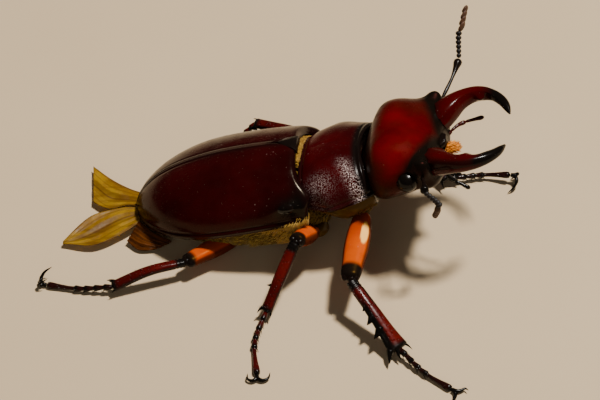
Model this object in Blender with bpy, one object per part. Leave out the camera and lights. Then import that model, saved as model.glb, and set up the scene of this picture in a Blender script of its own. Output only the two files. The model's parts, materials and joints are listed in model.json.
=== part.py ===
"""A male reddish-brown stag beetle, life size, standing with its forebody raised.

Z is up, the head points along +X and the beetle's left is +Y. Sizes and places are in
millimetres, and the mesh builders turn them into metres. The trunk is drawn level, on the plane
of the wing-case margins, and three empties then pose it: body, forebody and head. The legs are
drawn standing, between joints given above the floor.
"""

import math

import bmesh
import bpy
import numpy as np
from mathutils import Matrix, Vector

MM = 0.001
WELD = 0.002  # points closer than this become one
GAP = 0.06  # clearance between neighbouring pieces
UP = Vector((0, 0, 1))

# Posture of the trunk in degrees, as (pitch, yaw, roll), with its places and pivots.
BODY_TURN = (14.5, -0.8, -10.3)
BODY_PLACE = Vector((-0.1, -0.28, 4.62))
FOREBODY_TURN = (4.9, -2.9, 1.4)
FOREBODY_PIVOT = Vector((0, 0, 1.0))
FOREBODY_SHIFT = Vector((0, 0.2, 0.19))
HEAD_TURN = (0.3, -1.4, 2.7)
HEAD_PIVOT = Vector((5.9, 0, 1.5))
HEAD_SHIFT = Vector((0.18, 0.1, 0))

# Wing cases, from their base at X = 0 back to the tip.
CASE_LENGTH = 15.8
CASE_HALF_WIDTH = 6.3
CASE_RISE = 4.76
CASE_WALL = 0.5
MEMBRANE_WALL = 0.5
CASE_POWER = 2.15
CASE_SLIT = 0.035  # half the slit between the two cases
WIDEST = 0.40  # share of the length where the cases are widest
HIGHEST = 0.27
SHOULDER_REACH = 1.25  # how far the shoulders stand forward of the middle of the base
SCUTELLUM_LENGTH = 1.7
SCUTELLUM_HALF_WIDTH = 1.15

# Forebody.
PRONOTUM_BACK = 0.36
PRONOTUM_LENGTH = 5.55
PRONOTUM_HALF_WIDTH = 5.7
PRONOTUM_RISE = 3.35
PRONOTUM_EDGE = 0.1  # height of its side margin
UNDERSIDE_SET_BACK = 1.4

# Appendages.
LEG_SIDES = 8
TARSUS_JOINTS = 5

CUTICLE_RED = ((0.22, 0.008, 0.008), 0.18)
CUTICLE_DARK = ((0.045, 0.004, 0.006), 0.12)
CUTICLE_WINE = ((0.09, 0.007, 0.010), 0.22)
CUTICLE_BROWN = ((0.16, 0.075, 0.022), 0.3)
CUTICLE_LEG = ((0.15, 0.018, 0.012), 0.2)
CUTICLE_BLACK = ((0.012, 0.009, 0.008), 0.2)
AMBER = ((0.72, 0.19, 0.02), 0.3)
GOLD_MEMBRANE = ((0.55, 0.36, 0.05), 0.35)
GOLD_HAIR = ((0.85, 0.45, 0.10), 0.6)
EYE_BLACK = ((0.006, 0.006, 0.008), 0.05)


def finish(name, look):
    """A material of one colour and roughness, made once and shared."""
    if name in bpy.data.materials:
        return bpy.data.materials[name]
    colour, roughness = look
    made = bpy.data.materials.new(name)
    made.use_nodes = True
    shader = made.node_tree.nodes["Principled BSDF"]
    shader.inputs["Base Color"].default_value = (*colour, 1)
    shader.inputs["Roughness"].default_value = roughness
    shader.inputs["Metallic"].default_value = 0
    return made


def clear_scene():
    for obj in list(bpy.data.objects):
        bpy.data.objects.remove(obj)


def empty(name, parent=None, matrix=None):
    """An empty that poses its children; matrix is in millimetres, under its parent."""
    made = bpy.data.objects.new(name, None)
    bpy.context.scene.collection.objects.link(made)
    made.parent = parent
    if matrix is not None:
        placed = matrix.copy()
        placed.translation *= MM
        made.matrix_local = placed
    return made


def posed(turn, shift, pivot=Vector()):
    """A turn about a pivot, then a shift.

    Pitch lifts the front, yaw turns it to the left, and roll lifts the left side.
    """
    pitch, yaw, roll = (math.radians(angle) for angle in turn)
    spin = Matrix.Rotation(yaw, 4, "Z") @ Matrix.Rotation(-pitch, 4, "Y")
    spin = spin @ Matrix.Rotation(roll, 4, "X")
    return Matrix.Translation(pivot + shift) @ spin @ Matrix.Translation(-pivot)


BODY_POSE = posed(BODY_TURN, BODY_PLACE)
FOREBODY_POSE = posed(FOREBODY_TURN, FOREBODY_SHIFT, FOREBODY_PIVOT)
HEAD_POSE = posed(HEAD_TURN, HEAD_SHIFT, HEAD_PIVOT)


# Mesh builders


def mesh_object(name, bm, look_name, look, parent):
    """Welds the bmesh, turns its faces outward, and links it as one smooth-shaded object."""
    bmesh.ops.scale(bm, vec=(MM, MM, MM), verts=bm.verts)
    bmesh.ops.remove_doubles(bm, verts=bm.verts, dist=WELD * MM)
    bmesh.ops.recalc_face_normals(bm, faces=bm.faces)
    if bm.calc_volume(signed=True) < 0:
        bmesh.ops.reverse_faces(bm, faces=bm.faces)
    data = bpy.data.meshes.new(name)
    bm.to_mesh(data)
    bm.free()
    data.shade_smooth()
    data.set_sharp_from_angle(angle=math.radians(50))
    data.materials.append(finish(look_name, look))
    made = bpy.data.objects.new(name, data)
    bpy.context.scene.collection.objects.link(made)
    made.parent = parent
    return made


def loft(name, rings, look_name, look, parent=None):
    """A closed skin over rings of points. A ring whose points coincide ends the shape in a tip."""
    bm = bmesh.new()
    loops = [[bm.verts.new(p) for p in ring] for ring in rings]
    for near, far in zip(loops, loops[1:]):
        for i, corner in enumerate(near):
            j = (i + 1) % len(near)
            bm.faces.new((corner, near[j], far[j], far[i]))
    bm.faces.new(list(reversed(loops[0])))
    bm.faces.new(loops[-1])
    return mesh_object(name, bm, look_name, look, parent)


def shell(name, outer, inner, look_name, look, parent=None):
    """A wall between two grids of points, closed round its sides and across its first row."""
    bm = bmesh.new()
    rows = [
        [bm.verts.new(p) for p in over] + [bm.verts.new(p) for p in reversed(under)]
        for over, under in zip(outer, inner)
    ]
    for near, far in zip(rows, rows[1:]):
        for i, corner in enumerate(near):
            j = (i + 1) % len(near)
            bm.faces.new((corner, near[j], far[j], far[i]))
    across = len(outer[0])
    for row in (rows[0], rows[-1]):
        for i in range(across - 1):
            bm.faces.new((row[i], row[i + 1], row[-2 - i], row[-1 - i]))
    return mesh_object(name, bm, look_name, look, parent)


def superellipse(angle, power):
    """A point on a unit superellipse, (cos, sin) raised so that a higher power is squarer."""
    c, s = math.cos(angle), math.sin(angle)
    return (
        math.copysign(abs(c) ** (2 / power), c),
        math.copysign(abs(s) ** (2 / power), s),
    )


def section(x, half_width, top, bottom, count, power=2.3, low_power=None, middle=0.0):
    """A cross-section of the trunk at x, widest at the height middle.

    The powers set how square it is, above and below.
    """
    points = []
    for i in range(count):
        angle = math.tau * i / count
        upper = angle < math.pi
        across, up = superellipse(angle, power if upper else low_power or power)
        points.append(Vector((x, half_width * across, middle + up * (top if upper else bottom))))
    return points


def eased(knots, t):
    """The value at t of a smooth curve through (t, value) knots."""
    spots, values = zip(*knots)
    slopes = np.gradient(np.array(values, float), np.array(spots, float))
    k = int(np.clip(np.searchsorted(spots, t) - 1, 0, len(spots) - 2))
    span = spots[k + 1] - spots[k]
    u = min(1.0, max(0.0, (t - spots[k]) / span))
    return float(
        (2 * u**3 - 3 * u**2 + 1) * values[k]
        + (u**3 - 2 * u**2 + u) * span * slopes[k]
        + (3 * u**2 - 2 * u**3) * values[k + 1]
        + (u**3 - u**2) * span * slopes[k + 1]
    )


def route(points, t):
    """The point at share t of a smooth curve through these points, spaced by their distances."""
    lengths = np.cumsum([0] + [(b - a).length for a, b in zip(points, points[1:])])
    shares = lengths / lengths[-1]
    return Vector([eased(list(zip(shares, [p[axis] for p in points])), t) for axis in range(3)])


def rounding(t, start, end):
    """1 along a tube and 0 at its two ends, following a quarter circle over the start and end shares."""
    near = min(1.0, t / start) if start else 1.0
    far = min(1.0, (1 - t) / end) if end else 1.0
    return math.sqrt(max(0.0, 1 - (1 - near) ** 2)) * math.sqrt(max(0.0, 1 - (1 - far) ** 2))


def end_stations(count, start, end):
    """Shares along a tube, with two more in each rounded end so that it reads as round."""
    inner = np.linspace(start, 1 - end, count)
    return [0, 0.15 * start, 0.5 * start, *inner, 1 - 0.5 * end, 1 - 0.15 * end, 1]


def tube_rings(
    points, width, depth, stations, facing=UP, sides=LEG_SIDES, lobes=(), power=2.0, carried=False
):
    """Rings along a smooth route. width(t) and depth(t) are half sizes, across and along facing.

    A lobe is (t, angle, out, along): it pulls the nearest point of the ring at t outward and
    along the route, into a tooth or spur. With carried, each ring faces as the one before it
    did, so that a hooked route can turn through its facing without a twist.
    """
    rings = []
    step = 1e-3
    for t in stations:
        centre = route(points, t)
        tangent = (route(points, min(1, t + step)) - route(points, max(0, t - step))).normalized()
        side = tangent.cross(facing).normalized()
        lift = side.cross(tangent)
        if carried:
            facing = lift
        ring = []
        for i in range(sides):
            c, s = superellipse(math.tau * i / sides, power)
            ring.append(centre + side * (c * width(t)) + lift * (s * depth(t)))
        for spot, angle, out, along in lobes:
            if abs(spot - t) > 1e-6:
                continue
            i = round(angle / 360 * sides) % sides
            ring[i] = ring[i] + (ring[i] - centre).normalized() * out + tangent * along
        rings.append(ring)
    return rings


def soled(rings):
    """Rings with a flat sole: whatever is under the floor is brought up to it."""
    return [[Vector((p.x, p.y, max(p.z, 0.0))) for p in ring] for ring in rings]


def clearance_cutter(obj, gap=GAP):
    """A hidden copy of obj, swollen by the gap, that trims a neighbour to fit against it."""
    cutter = bpy.data.objects.new(obj.name + "_cutter", obj.data.copy())
    bpy.context.scene.collection.objects.link(cutter)
    cutter.parent = obj.parent
    for vertex in cutter.data.vertices:
        vertex.co += vertex.normal * gap * MM
    cutter.hide_render = True
    cutter.display_type = "WIRE"
    return cutter


def boolean(obj, other, operation):
    change = obj.modifiers.new(f"{operation.lower()}_{other.name}", "BOOLEAN")
    change.operation = operation
    change.solver = "EXACT"
    change.object = other


# Wing cases, scutellum and hindwings


def case_half_width(s):
    if s < WIDEST:
        return CASE_HALF_WIDTH * (1 - 0.045 * (1 - s / WIDEST) ** 2)
    return CASE_HALF_WIDTH * max(0.0, 1 - ((s - WIDEST) / (1 - WIDEST)) ** 2.3) ** (1 / 1.5)


def case_rise(s):
    if s < HIGHEST:
        return CASE_RISE * (1 - 0.05 * (1 - s / HIGHEST) ** 2)
    return CASE_RISE * max(0.0, 1 - ((s - HIGHEST) / (1 - HIGHEST)) ** 2.45) ** (1 / 1.9)


def case_height(x, y):
    """Height of the wing cases' outer surface over the point x, y."""
    s = min(1.0, max(0.0, -x / CASE_LENGTH))
    share = min(1.0, abs(y) / case_half_width(s))
    return case_rise(s) * (1 - share**CASE_POWER) ** (1 / CASE_POWER)


def shoulder(s, across):
    """How far forward a point of the wing cases is drawn, at a share of their length.

    Across is its share of their half width. Past 1 it goes on down the folded margin, which falls
    back under the shoulder.
    """
    fade = max(0.0, 1 - s / 0.24) ** 2
    reach = [
        (0, 0), (0.5, 0.05), (0.75, 0.35), (0.88, 0.78), (0.96, 0.88), (1, 0.5), (1.24, -0.1),
        (1.45, -0.35),
    ]
    return SHOULDER_REACH * fade * eased(reach, across)


def scutellum_half_width(x):
    """Half width of the notch that the scutellum fills between the wing cases."""
    share = max(0.0, 1 + x / SCUTELLUM_LENGTH)
    return SCUTELLUM_HALF_WIDTH * share**0.8


def case_rows(side, wall):
    """A grid over one wing case, from its base to its tip.

    Each row runs from the suture out and round under the margin. The inner grid is the outer one
    shrunk by the wall, which closes the case to a solid edge at its tip.
    """
    base_roll = [(0.0, 0.92), (0.008, 0.975), (0.03, 1.0)]
    spread = [0.10, 0.20, 0.31, 0.43, 0.55, 0.66, 0.76, 0.84, 0.91, 0.955, 0.985, 1.0]
    across = 8
    shrink = (1 - wall / CASE_LENGTH, 1 - wall / CASE_HALF_WIDTH, 1 - wall / CASE_RISE)
    rows = []
    for s, fullness in base_roll + [(s, 1.0) for s in spread]:
        x = -CASE_LENGTH * s
        width = case_half_width(s) * fullness
        rise = case_rise(s) * fullness
        notch = scutellum_half_width(x) if -x < SCUTELLUM_LENGTH else 0
        inside = CASE_SLIT + min(notch, 0.6 * width)
        section_line = []
        for i in range(across):
            reach = math.sin(math.pi / 2 * i / (across - 1)) ** (2 / CASE_POWER)
            y = inside + max(0.0, width - inside) * reach
            share = min(1.0, y / width) if width else 1.0
            section_line.append((y, rise * (1 - share**CASE_POWER) ** (1 / CASE_POWER)))
        fold = min(1.0, width / 2)
        for inward, down in ((0.06, 0.24), (0.34, 0.42)):
            section_line.append((max(inside, width - inward * fold), -down * fold))
        rows.append([
            Vector((
                (x + shoulder(s, y / max(width, 0.1) if z > 0 else 1 - z)) * shrink[0],
                side * (inside + (y - inside) * shrink[1]),
                z * shrink[2],
            ))
            for y, z in section_line
        ])
    return rows


def wing_cases(parent):
    for name, side in (("elytron_left", 1), ("elytron_right", -1)):
        shell(name, case_rows(side, 0), case_rows(side, CASE_WALL), "cuticle_dark", CUTICLE_DARK, parent)


def scutellum(parent):
    """The small shield between the wing-case bases, a little proud of them."""
    rings = []
    thickness = 0.45
    for x, level in ((0.12, 0.93), (0.0, 0.97), (-0.4, 1.0), (-0.95, 1.0), (-1.5, 1.0)):
        half = max(0.07, scutellum_half_width(min(x, 0)) - GAP)
        top = []
        for y in np.linspace(-half, half, 7):
            crown = 0.12 * (1 - (y / half) ** 2)
            top.append(Vector((x, y, case_height(min(x, -0.5), y) * level * 0.99 + crown)))
        low = [Vector((p.x, p.y * 0.9, p.z - thickness)) for p in reversed(top)]
        rings.append(top + low)
    loft("scutellum", rings, "cuticle_black", CUTICLE_BLACK, parent)


def membrane(name, near_edge, far_edge, rows, ripple, folds, look_name, look, cutters):
    """A stiff sheet stretched between two edges above the floor, rippled into folds across its width."""
    columns = 5
    near = [Vector(p) for p in near_edge]
    far = [Vector(p) for p in far_edge]
    outer, inner = [], []
    for r in range(rows):
        along = r / (rows - 1)
        start, end = route(near, along), route(far, along)
        upper, lower = [], []
        for c in range(columns):
            share = c / (columns - 1)
            spot = start.lerp(end, share)
            spot.z += ripple * math.sin(math.pi * along) * math.cos(math.tau * folds * share)
            spot.z = max(spot.z, MEMBRANE_WALL + 0.03)
            upper.append(spot)
            lower.append(spot - UP * MEMBRANE_WALL)
        outer.append(upper)
        inner.append(lower)
    made = shell(name, outer, inner, look_name, look)
    for cutter in cutters:
        boolean(made, cutter, "DIFFERENCE")


def hindwings(cutters):
    """The hindwing tips that stick out behind the wing cases, and the crumpled edge of the right one."""
    membrane(
        "hindwing_right",
        ((-14.6, -0.35, 1.25), (-17.0, -0.4, 1.05), (-19.5, -1.45, 0.85), (-21.65, -4.15, 0.6)),
        ((-14.6, -1.75, 1.2), (-16.3, -3.3, 0.95), (-18.6, -4.75, 0.75), (-21.65, -4.45, 0.6)),
        9, 0.12, 1.0, "wing_membrane", GOLD_MEMBRANE, cutters)
    membrane(
        "hindwing_left",
        ((-14.6, -0.1, 1.1), (-16.4, 0.1, 0.95), (-18.0, -0.2, 0.75), (-19.5, 0.75, 0.6)),
        ((-14.6, 1.6, 0.95), (-16.3, 2.4, 0.9), (-17.9, 3.5, 0.8), (-20.0, 5.35, 0.6)),
        7, 0.1, 1.5, "wing_membrane", GOLD_MEMBRANE, cutters)
    membrane(
        "hindwing_fold",
        ((-12.0, -4.3, 1.05), (-13.6, -3.6, 1.3), (-15.1, -2.2, 1.35)),
        ((-13.3, -4.8, 0.58), (-14.9, -4.85, 0.58), (-16.0, -3.95, 0.62)),
        6, 0.1, 1.5, "cuticle_brown", CUTICLE_BROWN, cutters)


# Trunk


def under_case(x, inset):
    """Half width and rise of what lies inside the wing cases at x."""
    s = min(1.0, max(0.0, -x / (CASE_LENGTH - CASE_WALL)))
    return (
        max(0.05, case_half_width(s) - CASE_WALL - inset),
        max(0.05, case_rise(s) - CASE_WALL - inset),
    )


def abdomen(parent):
    """Five overlapping belly plates, and the back that the wing cases cover."""
    rings = []
    plates = 5
    front, back = -5.1, -14.3
    for k in range(plates * 3 + 1):
        share = k / (plates * 3)
        x = front + (back - front) * share
        within = (share * plates) % 1.0
        step = 0.14 * (1 - within) if share < 1 else 0.0
        width, rise = under_case(x, 0.24)
        depths = [(0, 2.9), (0.3, 2.3), (0.55, 1.65), (0.8, 1.1), (0.93, 0.75), (1, 0.45)]
        depth = eased(depths, share) - step
        close = 0.55 if share == 1 else 1.0
        half = (width - step * 0.6) * close
        rings.append(section(x, half, (rise - 0.15) * close, depth, 14, 2.3, 4.0))
    return loft("abdomen", rings, "cuticle_brown", CUTICLE_BROWN, parent)


def hind_thorax(parent):
    """The thorax under the front of the wing cases, with a low neck that reaches under the forebody.

    Each row is x, half width, top, bottom and the height where it is widest. The rows with no
    width fill the wing cases.
    """
    outline = [
        (1.95, 0.1, 0.1, 0.1, -1.95),
        (1.8, 1.7, 0.3, 0.45, -1.95),
        (1.4, 2.8, 0.45, 0.9, -1.95),
        (0.75, 3.7, 0.9, 1.35, -1.7),
        (0.2, 3.95, 1.75, 2.05, -1.05),
        (-0.35, 4.55, 2.7, 2.85, 0.0),
        (-1.3, None, None, 3.15, 0.0),
        (-2.6, None, None, 3.35, 0.0),
        (-3.9, None, None, 3.25, 0.0),
        (-5.03, None, None, 2.95, 0.0),
    ]
    rings = []
    for x, width, rise, depth, middle in outline:
        inner_width, inner_rise = under_case(min(x, 0), 0.24)
        half, top = width or inner_width, rise or inner_rise - 0.15
        rings.append(section(x, half, top, depth, 16, 2.3, 3.7, middle))
    return loft("hind_thorax", rings, "cuticle_brown", CUTICLE_BROWN, parent)


def pronotum_shape(share):
    """Half width, rise and forward bow of the forebody at a share of its length from the back.

    The sides are cut off obliquely behind their corner, and the front margin is hollowed.
    """
    widths = [(0, 0.74), (0.2, 0.87), (0.42, 1.0), (0.62, 0.965), (0.85, 0.87), (1, 0.79)]
    rises = [(0, 0.88), (0.25, 0.975), (0.5, 1.0), (0.75, 0.97), (1, 0.88)]
    bows = [(0, -0.25), (0.3, 0.0), (0.7, 0.3), (1, 0.75)]
    width, rise, bow = (eased(knots, share) for knots in (widths, rises, bows))
    return PRONOTUM_HALF_WIDTH * width, PRONOTUM_RISE * rise, bow


def forebody_rings(count):
    """The whole forebody, both end faces dished to take the necks of the thorax and the head.

    Its underside starts further forward than its back, which leaves the middle legs free.
    """
    rim = 0.12 / PRONOTUM_LENGTH
    dish = 1.0
    hollow = [(dish, 0.2), (0.8 * dish, 0.5), (0.05, 0.92)]
    stations = [(0.0, depth, size) for depth, size in hollow]
    stations += [(0.0, 0.0, 0.965), (rim, 0.0, 1.0)]
    stations += [(share, 0.0, 1.0) for share in (0.12, 0.26, 0.42, 0.58, 0.74, 0.88, 1 - rim)]
    stations += [(1.0, 0.0, 0.965)]
    stations += [(1.0, -depth, size) for depth, size in reversed(hollow)]
    rings = []
    for share, depth, size in stations:
        width, rise, bow = pronotum_shape(share)
        x = PRONOTUM_BACK + PRONOTUM_LENGTH * share + depth
        top, bottom = rise * size, 0.86 * rise * size
        ring = section(x, width * size, top, bottom, count, 2.35, 2.1, PRONOTUM_EDGE)
        for point in ring:
            point.x += bow * size * (point.y / (width * size)) ** 2
            under = min(1.0, max(0.0, (PRONOTUM_EDGE - point.z) / 1.2))
            point.x += UNDERSIDE_SET_BACK * under * (1 - share)
        rings.append(ring)
    return rings


def block_cutter(name, low, high, parent):
    """A hidden box between two corners, in millimetres."""
    bm = bmesh.new()
    bmesh.ops.create_cube(bm, size=1)
    bmesh.ops.scale(bm, vec=high - low, verts=bm.verts)
    bmesh.ops.translate(bm, vec=(low + high) / 2, verts=bm.verts)
    cutter = mesh_object(name, bm, "cuticle_brown", CUTICLE_BROWN, parent)
    cutter.hide_render = True
    cutter.display_type = "WIRE"
    return cutter


def forebody_halves(parent):
    """The pronotum and the underside, parted by a thin cut just below the side margin."""
    shield = loft("pronotum", forebody_rings(30), "cuticle_wine", CUTICLE_WINE, parent)
    breast = loft("prosternum", forebody_rings(24), "cuticle_brown", CUTICLE_BROWN, parent)
    reach = 10
    cut = PRONOTUM_EDGE - GAP / 2
    low, high = Vector((-reach, -reach, -reach)), Vector((reach, reach, reach))
    below = block_cutter("below_margin", low, Vector((reach, reach, cut)), parent)
    above = block_cutter("above_margin", Vector((-reach, -reach, cut - GAP)), high, parent)
    boolean(shield, below, "DIFFERENCE")
    boolean(breast, above, "DIFFERENCE")
    return shield, breast


# Head. The feelers' places are in the head's own frame.

ANTENNAE = (
    ("antenna_left", 1,
     ((12.35, 5.25, 2.15), (13.7, 8.95, 3.15), (14.03, 10.85, 4.8), (14.93, 12.4, 6.35))),
    ("antenna_right", -1,
     ((11.35, -4.7, 1.5), (12.1, -7.4, 1.7), (12.7, -7.0, -0.3), (11.7, -6.2, -1.9))),
)
PALPS = (
    ("palp_left", ((11.8, 1.5, 0.0), (13.4, 3.7, -0.02), (15.3, 4.8, -0.55))),
    ("palp_right", ((11.8, -1.4, 0.1), (13.1, -2.9, -0.7), (14.5, -3.3, -1.9))),
)


def bump(point, centre, reach, height, direction):
    """A soft swelling, or with a negative height a dent, pushed along a direction."""
    distance = (point - Vector(centre)).length / reach
    return Vector(direction) * (height * math.exp(-(distance**2)))


def head_capsule(parent):
    """The broad head: full temples behind, a raised corner over each antenna and a hollowed forehead."""
    outline = [
        (5.3, 0.1, 0.1, 0.1),
        (5.45, 1.8, 1.2, 1.0),
        (5.9, 3.1, 2.02, 1.6),
        (6.35, 4.05, 2.7, 1.95),
        (6.85, 4.75, 3.3, 2.25),
        (7.4, 5.25, 3.85, 2.4),
        (8.3, 5.55, 4.12, 2.5),
        (9.3, 5.55, 4.07, 2.45),
        (10.2, 5.38, 3.87, 2.15),
        (10.9, 5.25, 3.55, 1.9),
        (11.5, 5.1, 3.1, 1.75),
        (12.0, 4.85, 2.6, 1.5),
        (12.35, 4.2, 2.0, 1.25),
        (12.55, 3.0, 1.4, 0.95),
        (12.6, 1.5, 0.7, 0.5),
    ]
    rings = []
    for x, width, rise, depth in outline:
        ring = section(x, width, rise, depth, 24, 2.5, 2.2, 0.35)
        for point in ring:
            for side in (1, -1):
                point += bump(point, (11.75, side * 4.75, 2.2), 0.95, 1.0, (0.35, side * 0.5, 0.85))
                point += bump(point, (8.2, side * 3.2, 4.1), 1.5, 0.2, (0, 0, 1))
                point += bump(point, (10.1, side * 5.4, 1.2), 0.8, -0.32, (0, side, 0))
                point += bump(point, (9.2, side * 5.0, -1.2), 2.2, -0.95, (0, side * 0.8, -0.6))
            point += bump(point, (12.0, 0, 2.6), 2.0, -0.55, (0, 0, 1))
            point += bump(point, (9.6, 0, 4.4), 1.7, -0.1, (0, 0, 1))
        rings.append(ring)
    return loft("head", rings, "cuticle_red", CUTICLE_RED, parent)


def mandible(name, side, head_cutter, parent):
    """A sickle, thick at the base, with one inner tooth past its middle."""
    line = [(11.6, 2.8, 1.35), (12.4, 3.35, 1.6), (13.63, 4.3, 1.9), (15.2, 4.87, 1.97),
            (16.75, 4.56, 1.76), (17.85, 3.55, 1.45), (18.45, 2.2, 1.1)]
    points = [Vector((x, side * y, z)) for x, y, z in line]

    widths = [
        (0, 1.4), (0.15, 1.2), (0.35, 0.74), (0.56, 0.56), (0.64, 0.50), (0.8, 0.43),
        (0.93, 0.30), (1, 0.10),
    ]
    depths = [
        (0, 1.15), (0.15, 1.15), (0.35, 0.84), (0.6, 0.62), (0.8, 0.44), (0.93, 0.28), (1, 0.10),
    ]

    def width(t):
        return eased(widths, t)

    def depth(t):
        return eased(depths, t)

    tooth = 0.57
    stations = [0, 0.12, 0.22, 0.32, 0.42, 0.5, tooth, 0.61, 0.68, 0.76, 0.84, 0.91, 0.96, 1.0]
    inward = 0 if side > 0 else 180
    lobes = [(tooth, inward, 0.36, 0.2), (0.5, inward, 0.12, 0.0)]
    rings = tube_rings(points, width, depth, stations, UP, 10, lobes, 2.2)
    made = loft(name, rings, "cuticle_mandible", CUTICLE_RED, parent)
    boolean(made, head_cutter, "DIFFERENCE")
    return made


def eye(name, side, head_cutter, parent):
    ball = bmesh.new()
    bmesh.ops.create_uvsphere(ball, u_segments=12, v_segments=8, radius=0.95)
    bmesh.ops.translate(ball, vec=(10.02, side * 4.8, 1.22), verts=ball.verts)
    made = mesh_object(name, ball, "eye", EYE_BLACK, parent)
    boolean(made, head_cutter, "DIFFERENCE")
    return made


def antenna(name, side, line, head_cutter, parent):
    """The stalk up to the elbow, then the beaded lash with its club of four plates."""
    root, elbow, club, tip = (Vector(p) for p in line)

    def stalk_size(t):
        return rounding(t, 0.05, 0.12) * eased([(0, 0.25), (0.6, 0.26), (0.82, 0.34), (1, 0.44)], t)

    reach = root + (elbow - root) * 0.97
    spots = end_stations(4, 0.05, 0.12)
    stalk = tube_rings([root, (root + reach) / 2, reach], stalk_size, stalk_size, spots, UP, 8)
    made = loft(f"{name}_scape", stalk, "cuticle_black", CUTICLE_BLACK, parent)
    boolean(made, head_cutter, "DIFFERENCE")

    beads = 6
    plates = 4
    club_share = 0.5
    start = elbow + (club - elbow).normalized() * 0.2
    stations = [0, 0.01, 0.03]
    girths = [0, 0.14, 0.2]
    for k in range(beads):
        low = club_share * k / beads
        span = club_share / beads
        stations += [low + 0.55 * span, low + span]
        girths += [0.28, 0.2]
    lobes = []
    sweep = 0 if side > 0 else 180
    for k in range(plates):
        low = club_share + k * (1 - club_share) / plates
        span = (1 - club_share) / plates
        stations += [low + 0.6 * span, low + 0.9 * span]
        girths += [0.31, 0.26]
        lobes.append((low + 0.6 * span, sweep, 0.36 - 0.05 * k, 0.14))
    stations.append(1.0)
    girths.append(0.1)
    sizes = dict(zip(stations, girths))
    lash = tube_rings([start, club, tip], sizes.get, sizes.get, stations, UP, 5, lobes)
    loft(f"{name}_club", lash, "antenna_club", CUTICLE_BROWN, parent)


def palp(name, line, head_cutter, parent):
    """A jointed feeler beside the mouth."""
    points = [Vector(p) for p in line]
    joints = 3

    def size(t):
        swell = 0.05 * math.sin(math.pi * ((t * joints) % 1.0))
        return rounding(t, 0.04, 0.08) * (0.23 + swell)

    rings = tube_rings(points, size, size, end_stations(7, 0.04, 0.08), UP, 6)
    made = loft(name, rings, "cuticle_leg", CUTICLE_LEG, parent)
    boolean(made, head_cutter, "DIFFERENCE")


def mouth(head_cutter, parent):
    """The upper lip between the mandibles, and the brush of gold bristles beneath it."""
    lip = [section(x, half, 0.34, 0.30, 12, 2.6, None, 1.25) for x, half in
           ((11.9, 1.05), (12.6, 0.95), (12.9, 0.65), (13.05, 0.3))]
    made = loft("labrum", lip, "cuticle_black", CUTICLE_BLACK, parent)
    boolean(made, head_cutter, "DIFFERENCE")
    tuft = [section(x, 0.52 * size, 0.5 * size, 0.5 * size, 10, 2.0, None, 0.3) for x, size in
            ((12.1, 0.9), (12.8, 1.0), (13.35, 1.0), (13.75, 0.7), (13.9, 0.25))]
    made = loft("mouth_brush", tuft, "gold_bristle", GOLD_HAIR, parent)
    boolean(made, head_cutter, "DIFFERENCE")


# Legs. The root is in the frame of the trunk part that carries it; every other place is above the floor.

LEGS = {
    "fore_right": dict(
        pair="fore", root=(4.9, -2.2, -2.1), knee=(3.95, -11.1, 3.9), ankle=(8.35, -16.2, 0.85),
        bend=(10.4, -18.3, 0.42), toe=(12.75, -20.0, 0.28), claw=((0.12, -0.35, 0.1), 1.0, -0.15)),
    "fore_left": dict(
        pair="fore", root=(4.8, 2.0, -2.1), knee=(8.0, 9.1, 4.3), ankle=(12.3, 4.45, 0.85),
        bend=(15.6, 5.45, 0.6), toe=(17.8, 5.15, 0.95), claw=((-0.45, -0.5, -0.66), 0.9, 0.25)),
    "middle_right": dict(
        pair="middle", root=(0.75, -3.3, -2.7), knee=(-0.8, -8.0, 5.2), ankle=(-3.2, -12.4, 0.9),
        bend=(-3.95, -15.2, 0.42), toe=(-3.58, -19.0, 0.28), claw=((0.1, 0.45, 0.1), 1.0, 0.25)),
    "middle_left": dict(
        pair="middle", root=(0.3, 3.3, -2.7), knee=(0.5, 7.4, 2.8), ankle=(-5.5, 9.4, 2.7),
        bend=(-7.2, 8.9, 1.0), toe=(-9.35, 8.25, 0.28), claw=((0.4, 0.1, 0.1), 1.0, 0.25)),
    "hind_right": dict(
        pair="hind", root=(-5.4, -2.4, -2.25), knee=(-10.35, -7.55, 1.85), ankle=(-16.7, -9.85, 0.85),
        bend=(-19.6, -9.75, 0.45), toe=(-22.5, -9.25, 0.28), claw=((0.4, 0.35, 0.8), 0.8, 0.45)),
    "hind_left": dict(
        pair="hind", root=(-5.4, 2.4, -2.25), knee=(-2.5, 8.5, 1.6), ankle=(-9.2, 7.1, 0.85),
        bend=(-11.4, 6.5, 0.42), toe=(-13.2, 4.6, 0.28), claw=((0.3, 0.25, 0.06), 0.9, 0.25)),
}

# Half sizes: femur across and deep; tibia broad and thin at the knee, then at the ankle. Then how
# far the tibia bows upward, and where its outer teeth are.
PAIRS = {
    "fore": dict(femur=(1.08, 0.75), tibia=(0.54, 0.42, 0.76, 0.42), bow=0.1,
                 teeth=(0.45, 0.62, 0.78)),
    "middle": dict(femur=(0.84, 0.76), tibia=(0.50, 0.38, 0.54, 0.42), bow=0.1, teeth=(0.62,)),
    "hind": dict(femur=(0.92, 0.68), tibia=(0.42, 0.36, 0.56, 0.42), bow=0.45, teeth=(0.62,)),
}


def coxa(name, socket, outward, cutters):
    """The joint that the leg turns in, half sunk in the breastplate."""
    ends = [socket - outward * 1.2, socket, socket + outward * 1.3]

    def size(t):
        return 0.72 * rounding(t, 0.45, 0.45)

    rings = tube_rings(ends, size, size, end_stations(2, 0.4, 0.4), UP, 6)
    made = loft(name, rings, "cuticle_brown", CUTICLE_BROWN)
    for cutter in cutters:
        boolean(made, cutter, "DIFFERENCE")
    return made


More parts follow.
